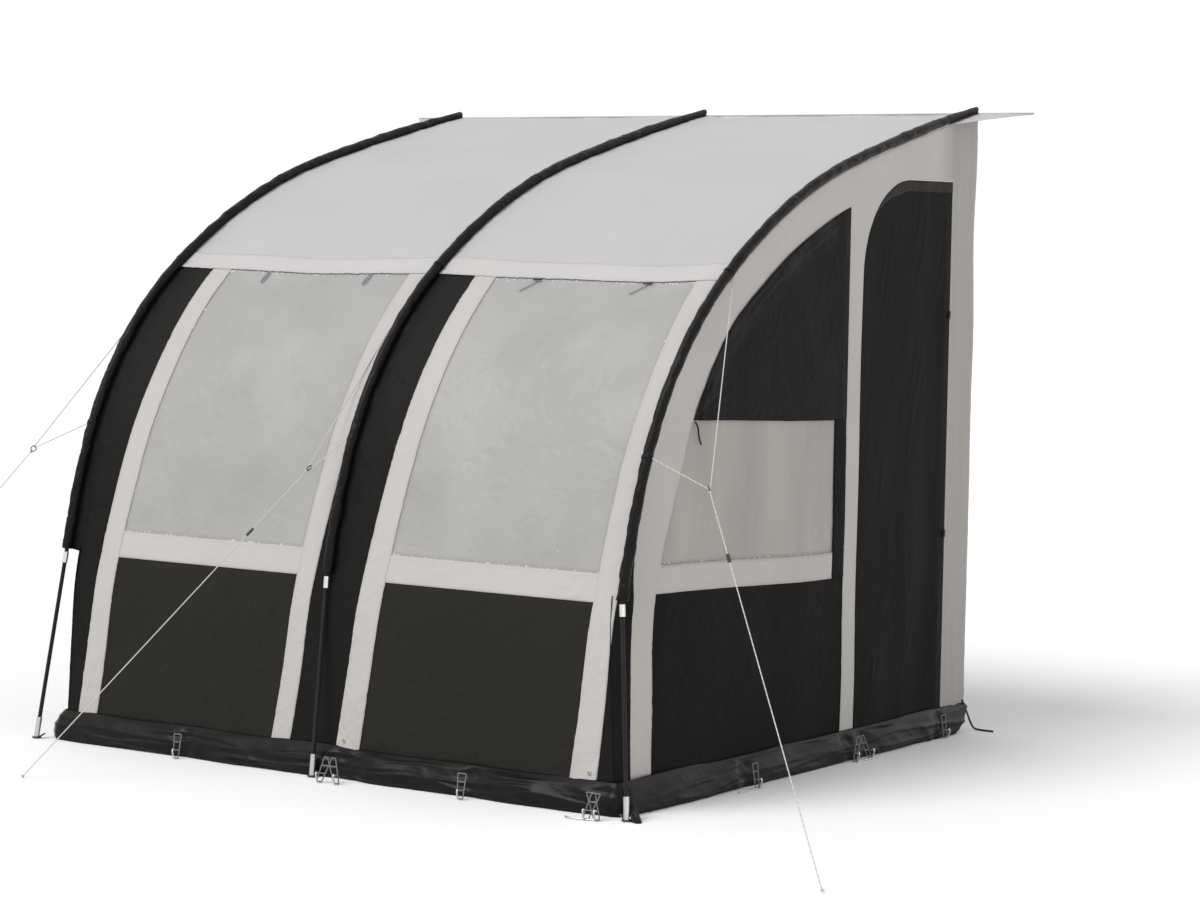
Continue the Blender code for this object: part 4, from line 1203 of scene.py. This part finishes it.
BUNCH_TOP = 0.005
BUNCH_FOOT = 0.014
BUNCH_WRAP = 0.003
BUNCH_PATH = ((1.335, 0.075, 0.098), (1.424, 0.006, 0.001))
FOLD_RISE = 0.100
FOLD_TIP = 0.004
FOLD_LAP = 0.002
FOLD_STEP = 0.006


def skirt_path():
    """Places along the wall's foot from the left rear to the right rear, and the way outward at each."""
    front = float(arch_point(BOTTOM_RUN, SKIN_OUT)[0])
    side_length = REAR - front - SKIRT_CORNER
    arc = SKIRT_CORNER * math.pi / 2
    total = 2 * (side_length + arc + BAY - SKIRT_CORNER)
    along = np.linspace(0, total, round(total / SKIRT_STEP) + 1)
    half = np.minimum(along, total - along)
    sign = np.where(along < total / 2, -1, 1)
    angle = np.clip((half - side_length) / SKIRT_CORNER, 0, math.pi / 2)
    outs = rows(sign * np.cos(angle), -np.sin(angle))
    x = sign * (BAY - SKIRT_CORNER - np.maximum(0, half - side_length - arc))
    y = front + SKIRT_CORNER + np.maximum(0, side_length - half)
    return rows(x, y) + SKIRT_CORNER * outs, outs, along, side_length


def make_skirt():
    """A strip of black vinyl round the foot of the walls, bulging to the ground and turned in under itself."""
    places, outs, along, side_length = skirt_path()
    total = float(along[-1])
    s, t = np.meshgrid(along, np.linspace(0, 1, 34), indexing="ij")
    knots = np.linspace(0, 1, len(SKIRT_OUT))
    width = np.hypot(np.diff(np.array(SKIRT_OUT)), np.diff(np.array(SKIRT_UP)) * WALL_BOTTOM).sum()
    out = np.interp(t, knots, SKIRT_OUT) * (0.86 + 0.10 * waves(s / 0.45, t / 1.5, 81))
    middle = smooth(t, 0.05, 0.25) * (1 - smooth(t, 0.78, 0.95))
    turn = np.minimum(np.abs(s - side_length), np.abs(total - side_length - s))
    middle *= 0.35 + 0.65 * smooth(turn, 0.0, 0.2)
    for centre, height, spread, seed in SKIRT_FOLDS:
        line = centre + 0.10 * waves(s / 0.55, 0 * s, seed)
        fade = smooth(waves(s / 0.40, 0 * s, seed + 10), -0.9, 0.4)
        out += height * fade * middle * np.exp(-(((t - line) / spread) ** 2))
    out += 0.0022 * middle * creases(s, t * width, 24, 0.022, 0.12, 89, 1.5)
    up = WALL_BOTTOM * np.interp(t, knots, SKIRT_UP) + 0.004 * middle * waves(s / 0.3, t / 0.5, 86)
    up += (1 - smooth(t, 0.0, 0.3)) * (0.002 + 0.009 * smooth(waves(s / 0.5, 0 * s, 88), -0.6, 1.0))
    for spot in STRAP_SPOTS:
        apart = s - along[np.argmin(np.hypot(*(places - spot[:2]).T))]
        below = (t - 0.12) * width
        away = np.hypot(apart, below)
        fan = np.exp(-away / 0.10) * smooth(away, 0.0, 0.05)
        out += 0.005 * fan * middle * np.cos(4 * np.arctan2(below, np.abs(apart)))
        out -= 0.012 * np.exp(-((apart / 0.04) ** 2)) * middle
    up = np.maximum(up, CLOTH)
    edge = np.minimum(s, total - s)
    back = np.maximum(0.0, SKIRT_REAR_CUT * (1 - up / WALL_BOTTOM)) * (1 - smooth(edge, 0.0, 0.5))
    x = places[:, :1] + outs[:, :1] * out
    y = places[:, 1:] + outs[:, 1:] * out - back + SHIFT_Y
    faces = grid_faces(*s.shape)[:, ::-1]
    item = make_cloth("skirt", rows(x, y, up), faces, VINYL, None, rows(s, t * width))
    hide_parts(*(f"{kind}_skirt_{side}" for kind in ("front", "side") for side in SIDES))


# Round pieces


def soften(points, times=2):
    """Cut the corners of a line of points, its ends kept."""
    points = [Vector(point) for point in points]
    for _ in range(times):
        cut = [points[0]]
        for first, second in zip(points, points[1:]):
            cut += [first.lerp(second, 0.25), first.lerp(second, 0.75)]
        points = cut + [points[-1]]
    return points


def rod_mesh(paths, radius, sides=10, closed=False):
    """Points and faces of round rods along lists of points."""
    points, faces = [], []
    for path in paths:
        path = [Vector(point) for point in path]
        count = len(path)
        start = len(points)
        ahead = (path[1] - path[0]).normalized()
        cross = ahead.orthogonal().normalized()
        for i, spot in enumerate(path):
            after = path[(i + 1) % count] if closed or i < count - 1 else spot
            before = path[i - 1] if closed or i else spot
            now = (after - before).normalized()
            cross = (cross - now * cross.dot(now)).normalized()
            other = now.cross(cross)
            for k in range(sides):
                angle = 2 * math.pi * k / sides
                points.append(spot + radius * (math.cos(angle) * cross + math.sin(angle) * other))
        rings = count if closed else count - 1
        for i in range(rings):
            low, high = start + i * sides, start + (i + 1) % count * sides
            faces += [(low + k, low + (k + 1) % sides, high + (k + 1) % sides, high + k) for k in range(sides)]
        if not closed:
            faces.append(tuple(start + k for k in reversed(range(sides))))
            faces.append(tuple(start + (count - 1) * sides + k for k in range(sides)))
    return points, faces


def solid(name, points, faces, material, body="shell", sharp=None):
    """A smooth solid piece, with sharp edges above an angle in degrees if one is given."""
    mesh = bpy.data.meshes.new(name)
    mesh.from_pydata([tuple(point) for point in points], [], faces)
    mesh.shade_smooth()
    if sharp:
        mesh.set_sharp_from_angle(angle=math.radians(sharp))
    mesh.materials.append(material)
    return link(bpy.data.objects.new(name, mesh), body)


def rods(name, paths, radius, material, body="shell", sides=10, closed=False):
    """Round rods along lists of points, as one piece."""
    return solid(name, *rod_mesh(paths, radius, sides, closed), material, body, 50)


def cord_curve(name, points, radius, material, body="shell"):
    """A cord along a list of points, as a curve."""
    curve = bpy.data.curves.new(name, "CURVE")
    curve.dimensions = "3D"
    curve.bevel_depth = radius
    curve.bevel_resolution = 3
    curve.use_fill_caps = True
    spline = curve.splines.new("POLY")
    spline.points.add(len(points) - 1)
    for point, spot in zip(spline.points, points):
        point.co = (*spot, 1.0)
    curve.materials.append(material)
    return link(bpy.data.objects.new(name, curve), body)


def knot(name, spot, towards, tail=None):
    """A small overhand knot of guy cord, with a short free tail if a direction is given."""
    turn = towards.to_track_quat("Z", "Y").to_matrix()
    loop = []
    for i in range(40):
        angle = 2 * math.pi * i / 40
        shape = Vector((
            math.sin(angle) + 2 * math.sin(2 * angle),
            math.cos(angle) - 2 * math.cos(2 * angle),
            -1.2 * math.sin(3 * angle),
        ))
        loop.append(spot + turn @ shape * (KNOT_SIZE / 3.2))
    points, faces = rod_mesh([loop], CORD_RADIUS * KNOT_CORD, 8, True)
    if tail is not None:
        path = soften([spot, spot + Vector(tail) * 0.6, spot + Vector(tail)])
        more, others = rod_mesh([path], CORD_RADIUS * KNOT_TAIL_CORD, 8)
        faces += [tuple(len(points) + k for k in face) for face in others]
        points += more
    return solid(name, points, faces, CORD)


# The guy lines


def tie_point(name, run, target):
    """Where a guy's leg starts beside its sleeve, seen from the point that it runs to."""
    centre = place(ARCH_X[name], *map(float, arch_point(run)))
    lean = float(np.interp(run, ARCH[:, 0], ARCH[:, 3]))
    along = Vector((0.0, math.sin(lean), math.cos(lean)))
    towards = (target - centre).normalized()
    slant = towards.dot(along)
    outward = (towards - slant * along).normalized()
    return centre + outward * (SLEEVE_RADIUS + CORD_RADIUS * abs(slant))


def cloth_leg(name, apex):
    """The middle arch's upper leg: on the cloth beside the sleeve, until it leaves it."""
    inward = SKIN_OUT - CORD_RADIUS
    runs = ARCH[(ARCH[:, 0] > LOWER_TIE_RUN) & (ARCH[:, 0] < UPPER_TIE_RUN), 0]
    y, z = arch_point(runs, inward)
    lean = np.interp(runs, ARCH[:, 0], ARCH[:, 3])
    facing = np.sin(lean) * (z - apex.z) - np.cos(lean) * (y + SHIFT_Y - apex.y)
    leave = float(runs[np.argmin(np.abs(facing))])
    steps = np.linspace(UPPER_TIE_RUN, leave, CLOTH_STEPS + 1)
    spots = [place(0.0, *map(float, arch_point(run, inward))) for run in steps]
    start = ARCH_X[name] + math.copysign(SLEEVE_RADIUS * CLOTH_SIDE_SHARE, apex.x - ARCH_X[name])
    free = math.hypot(spots[-1].y - apex.y, spots[-1].z - apex.z)
    slope = (apex.x - start) / (UPPER_TIE_RUN - leave + free)
    for spot, run in zip(spots, steps):
        spot.x = start + slope * (UPPER_TIE_RUN - run)
    return spots


def bend_points(first, corner, last):
    """A round bend near the corner of a path."""
    a = (first - corner).normalized()
    b = (last - corner).normalized()
    half = a.angle(b) / 2
    bisector = (a + b).normalized()
    centre = corner + bisector * (CORD_BEND / math.sin(half))
    arm = corner + a * (CORD_BEND / math.tan(half)) - centre
    normal = bisector.cross(arm).normalized()
    step = (math.pi - 2 * half) / BEND_STEPS
    return [centre + Matrix.Rotation(step * i, 3, normal) @ arm for i in range(BEND_STEPS + 1)]


def spaced(first, last, step=CORD_STEP):
    """Points on a straight line, a step apart or a little more."""
    count = max(1, int((last - first).length / step))
    return [first.lerp(last, i / count) for i in range(count + 1)]


def make_tie_band(name, level, run):
    """The webbing loop round a sleeve that a guy's leg is tied to."""
    across, turn = np.meshgrid(np.linspace(-0.5, 0.5, 7), np.linspace(-1, 1, 31), indexing="ij")
    angle = turn * math.radians(TIE_BAND_TURN)
    edge = 1 - np.abs(2 * across) ** 6
    radius = SLEEVE_RADIUS + TIE_BAND_OUT * edge + 0.0012 * waves(across * 1.2, angle / 1.5, 91)
    y, z = arch_point(run + across * TIE_BAND, -radius * np.cos(angle))
    points = rows(ARCH_X[name] + radius * np.sin(angle), y + SHIFT_Y, z)
    make_cloth(f"tie_band_{name}_{level}", points, grid_faces(*turn.shape)[:, ::-1], SLEEVE)


def make_guy(name):
    """One guy: two legs from the sleeve through a ring, a main line to the ground and their knots."""
    apex = place(*GUY_RINGS[name])
    end = place(*GUY_ENDS[name], CORD_RADIUS)
    down = (end - apex).normalized()
    upper = cloth_leg(name, apex) if name == "middle" else [tie_point(name, UPPER_TIE_RUN, apex)]
    lower = tie_point(name, LOWER_TIE_RUN, apex)
    bend = bend_points(upper[-1], apex, lower)
    legs = upper[:-1] + spaced(upper[-1], bend[0])[:-1] + bend + spaced(bend[-1], lower)[1:]
    legs_item = cord_curve(f"guy_legs_cord_{name}", legs, CORD_RADIUS, CORD)
    for level, run in (("upper", UPPER_TIE_RUN), ("lower", LOWER_TIE_RUN)):
        make_tie_band(name, level, run)
    for level, spot, tail in zip(("upper", "lower"), (upper[0], lower), KNOT_TAILS):
        out = (apex - spot).normalized()
        knot(f"guy_knot_{level}_{name}", spot + out * KNOT_STEP, out, tail)
    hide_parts(f"guy_legs_{name}")
    start = sum(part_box(f"guy_ring_{name}"), Vector()) / 2 + down * RING_REACH
    line = spaced(start, end)
    line_item = cord_curve(f"guy_main_cord_{name}", line, CORD_RADIUS, CORD)
    ring_knot = knot(f"guy_knot_ring_{name}", start + down * 0.005, down)
    end_knot = knot(f"guy_knot_end_{name}", end - down * KNOT_STEP + UP * KNOT_LIFT, down)
    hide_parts(f"guy_line_{name}")


# Straps, pegs, toggles and eyelets


def make_strap(index, spot):
    """A rubber ladder strap from the skirt to a hook on the ground."""
    x, y, lean = spot
    side = math.copysign(1.0, x) if abs(x) > BAY else 0.0
    out = Vector((side, 0.0, 0.0)) if side else Vector((0.0, -1.0, 0.0))
    along = Vector((0.0, 1.0, 0.0)) if side else Vector((1.0, 0.0, 0.0))
    foot = place(x, y, STRAP_RADIUS * 2)
    top = foot - out * STRAP_SLANT + UP * STRAP_HEIGHT + along * lean
    wide, narrow = STRAP_WIDTHS
    rails = [soften([top + along * wide / 2 * k, foot + along * narrow / 2 * k], 1) for k in (-1, 1)]
    rungs = []
    for share in (0, 1 / 3, 2 / 3, 1):
        reach = along * (wide + (narrow - wide) * share) / 2
        rungs.append([top.lerp(foot, share) + reach * k for k in (-1, 1)])
    rods(f"strap_{index}", rails + rungs, STRAP_RADIUS, RUBBER, sides=8)
    hook = [foot + UP * z + out * reach for z, reach in HOOK_BENDS]
    rods(f"hook_{index}", [soften(hook)], PEG_RADIUS, STEEL, sides=8)


def make_pegs():
    """Round steel pegs that lie on the ground beside three straps, and the rear corner's bent rod."""
    for name, path in {
        "corner": [(1.300, -0.060), (1.255, -0.072), (1.190, -0.080), (1.176, -0.066)],
        "front_side": [(1.395, 0.850), (1.398, 0.800), (1.392, 0.715)],
        "rear_side": [(1.385, 1.765), (1.392, 1.700), (1.380, 1.590), (1.392, 1.580)],
    }.items():
        rods(f"peg_{name}", [soften([place(*point, PEG_RADIUS) for point in path])], PEG_RADIUS, STEEL)
    radius = REAR_ROD_RADIUS
    path = [(1.303, 2.585, 0.125), (1.322, 2.600, 0.070), (1.345, 2.606, 0.010)]
    path += [(1.372, 2.606, radius), (1.440, 2.606, radius)]
    rods("rear_rod", [soften([place(*point) for point in path], 3)], radius, GLASS_FIBRE)


def circle(centre, across, up, count):
    """Points round a centre, from two arms."""
    angles = [2 * math.pi * i / count for i in range(count)]
    return [centre + across * math.cos(angle) + up * math.sin(angle) for angle in angles]


def make_feet():
    """A rubber ring round each pole's foot and its link to the skirt."""
    for name, item in (("left", -1), ("middle", 0), ("right", 1)):
        low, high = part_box(f"foot_tube_{name}")
        centre = Vector(((low.x + high.x) / 2 + item * 0.004, (low.y + high.y) / 2 - 0.002, 0.0))
        ring = circle(centre + UP * 0.005, Vector((FOOT_RING, 0.0, 0.0)), Vector((0.0, FOOT_RING, 0.0)), 28)
        rods(f"foot_ring_{name}", [ring], FOOT_RING_THICK, PLASTIC, closed=True)
        inward = Vector((-item * 0.030, 0.012, 0.0)) if item else Vector((0.004, 0.016, 0.0))
        side = Vector((-inward.y, inward.x, 0.0)).normalized() * 0.005
        low_end, high_end = inward * 0.4 + UP * 0.008, inward + UP * 0.020
        sides = [[centre + end + arm for end in (low_end, high_end)] for arm in (side, -side)]
        rods(f"foot_link_{name}", sides, FOOT_LINK, PLASTIC)


def front_spot(x, run, out):
    """A point at a height above the front wall."""
    spot = on_skin(np.array(x), np.array(run), front_relief(np.array(x), np.array(run)) + out)
    return Vector([float(value) for value in spot])


def hanging_cord(name, path, radius, material, body="shell"):
    """A limp cord that hangs along a path."""
    points = soften(path)
    item = cord_curve(name, points, radius, material, body)


def make_toggles():
    """Loops at the top of the left film, and toggles with straps at the top of the right one."""
    for index, x in enumerate((-0.826, -0.317)):
        path = [(0.0, 2.045), (-0.004, 2.020), (-0.006, 1.985), (0.004, 1.975), (0.010, 1.99), (0.006, 2.045)]
        path = [front_spot(x + a, run, LOOP_OUT) for a, run in path]
        hanging_cord(f"film_loop_{index}", path, LOOP_RADIUS, STRAP)
    for index, x in enumerate((0.477, 0.965)):
        bar = [front_spot(x + TOGGLE_HALF * k, 2.036 + 0.001 * k, TOGGLE_OUT) for k in (-1, 1)]
        rods(f"toggle_{index}", [bar], TOGGLE_RADIUS, PLASTIC)
        path = [(-0.002, 2.033), (-0.012, 2.010), (-0.034, 1.985), (-0.050, 1.972)]
        path = [front_spot(x + a, run, LOOP_OUT) for a, run in path]
        hanging_cord(f"toggle_strap_{index}", path, LOOP_RADIUS, STRAP)


def make_strip_folds():
    """The cloth triangles folded back at the foot of the right bay's strips."""
    for index, (offset, turned) in enumerate(((STRIP_A, False), (STRIP_B, True))):
        low, high = (strip_edge(0.0, place_x, FOLD_LAP * sign) for place_x, sign in zip(offset, (1, -1)))

        def slanted(run, low=low, high=high, turned=turned):
            share = 1 - (run - BOTTOM_RUN) / FOLD_RISE
            reach = FOLD_TIP + (high(run) - low(run) - FOLD_TIP) * share
            return high(run) - reach if turned else low(run) + reach

        edges = (slanted, high) if turned else (low, slanted)
        high_run = BOTTOM_RUN + FOLD_RISE
        skin_piece(
            f"strip_fold_{index}", *edges, BOTTOM_RUN, high_run, BAND, out=2.5 * STRIP_LIFT, step=FOLD_STEP,
        )


def make_bunch():
    """The skirt's gathered end beside the right foot: a crumpled tail of vinyl down to the ground."""
    share, turn = np.meshgrid(np.linspace(0, 1, 30), np.linspace(0, 1, 70), indexing="ij")
    angle = 2 * math.pi * turn
    radius = BUNCH_TOP + (BUNCH_FOOT - BUNCH_TOP) * share + BUNCH_WRAP * turn
    radius *= 1 + 0.24 * np.cos(3 * angle + 2.5 * share) + 0.14 * np.cos(7 * angle - 4 * share)
    first, last = np.array(BUNCH_PATH[0]), np.array(BUNCH_PATH[1])
    x, y, z = np.moveaxis(first + (last - first) * share[:, :, None], -1, 0)
    z = z + 0.006 * waves(share * 2, angle / 3, 92) * (1 - share)
    points = rows(x + radius * np.cos(angle), y + SHIFT_Y + radius * np.sin(angle), z)
    faces = grid_faces(*share.shape)
    item = make_cloth("skirt_bunch", points, faces, VINYL)
    declare_sheet()


def make_eyelets():
    """Brass eyelets at the foot of the right bay's strips."""
    for index, (x, z) in enumerate(EYELET_SPOTS):
        run = find_run(z, 1, SKIN_OUT)
        centre = front_spot(x, run, EYELET_OUT) + Vector((0.0, -0.0004, 0.0))
        ring = circle(centre, Vector((EYELET, 0.0, 0.0)), UP * EYELET, 24)
        rods(f"eyelet_{index}", [ring], EYELET_THICK, BRASS, closed=True)


def make_side_fittings():
    """Door toggles and the cord that gathers the window's cover, on both sides."""
    for side, sign in SIDES.items():
        for index, z in enumerate(DOOR_TOGGLE_HEIGHTS):
            spot = place(sign * (BAY + DOOR_TOGGLE_OUT), DOOR_REAR - 0.012, z)
            arm = Vector((0.0, 0.002, DOOR_TOGGLE_HALF))
            bar = [spot - arm, spot + arm]
            rods(f"door_toggle_{side}_{index}", [bar], DOOR_TOGGLE_RADIUS, PLASTIC, f"door_{side}")
        corner = strip_line(FLAP_BOTTOM, WINDOW_REAR, 0.0)[0]
        start = place(sign * (BAY + 0.001), float(corner[0]) + 0.012, FLAP_BOTTOM + 0.012)
        steps = ((0.0, 0.0, 0.0), (0.010, 0.004, -0.02), (0.008, 0.012, -0.055), (0.010, 0.026, -0.082))
        path = [start + Vector((sign * x, y, z)) for x, y, z in steps]
        hanging_cord(f"flap_tie_{side}", path, FLAP_TIE_RADIUS, BLACK_CORD, f"side_flap_{side}")


# The hard pieces


def paint_nodes():
    """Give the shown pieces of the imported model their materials."""
    looks = {
        ("arch_pole", "lower_pole"): GLASS_FIBRE,
        ("ferrule", "upright"): ALUMINIUM,
        ("foot_tube",): STEEL,
        ("guy_ring",): DARK_STEEL,
        ("guy_runner",): PLASTIC,
        ("keder_bead",): BEAD,
    }
    for name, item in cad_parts.items():
        for starts, material in looks.items():
            if name.startswith(starts):
                item.data.materials.clear()
                item.data.materials.append(material)
                item.data.shade_smooth()


add_camera()
add_studio()
make_front()
make_wings()
make_sides()
for arch_name in ARCH_X:
    make_sleeve(arch_name)
make_skirt()
for arch_name in ARCH_X:
    make_guy(arch_name)
for strap_index, strap_spot in enumerate(STRAP_SPOTS):
    make_strap(strap_index, strap_spot)
make_pegs()
make_feet()
make_toggles()
make_strip_folds()
make_bunch()
make_eyelets()
make_side_fittings()
paint_nodes()

sizes = {"cad": START_SIZE, "visual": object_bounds()}
sizes = {key: [[float(value) for value in corner] for corner in box] for key, box in sizes.items()}
print("sizes", sizes)
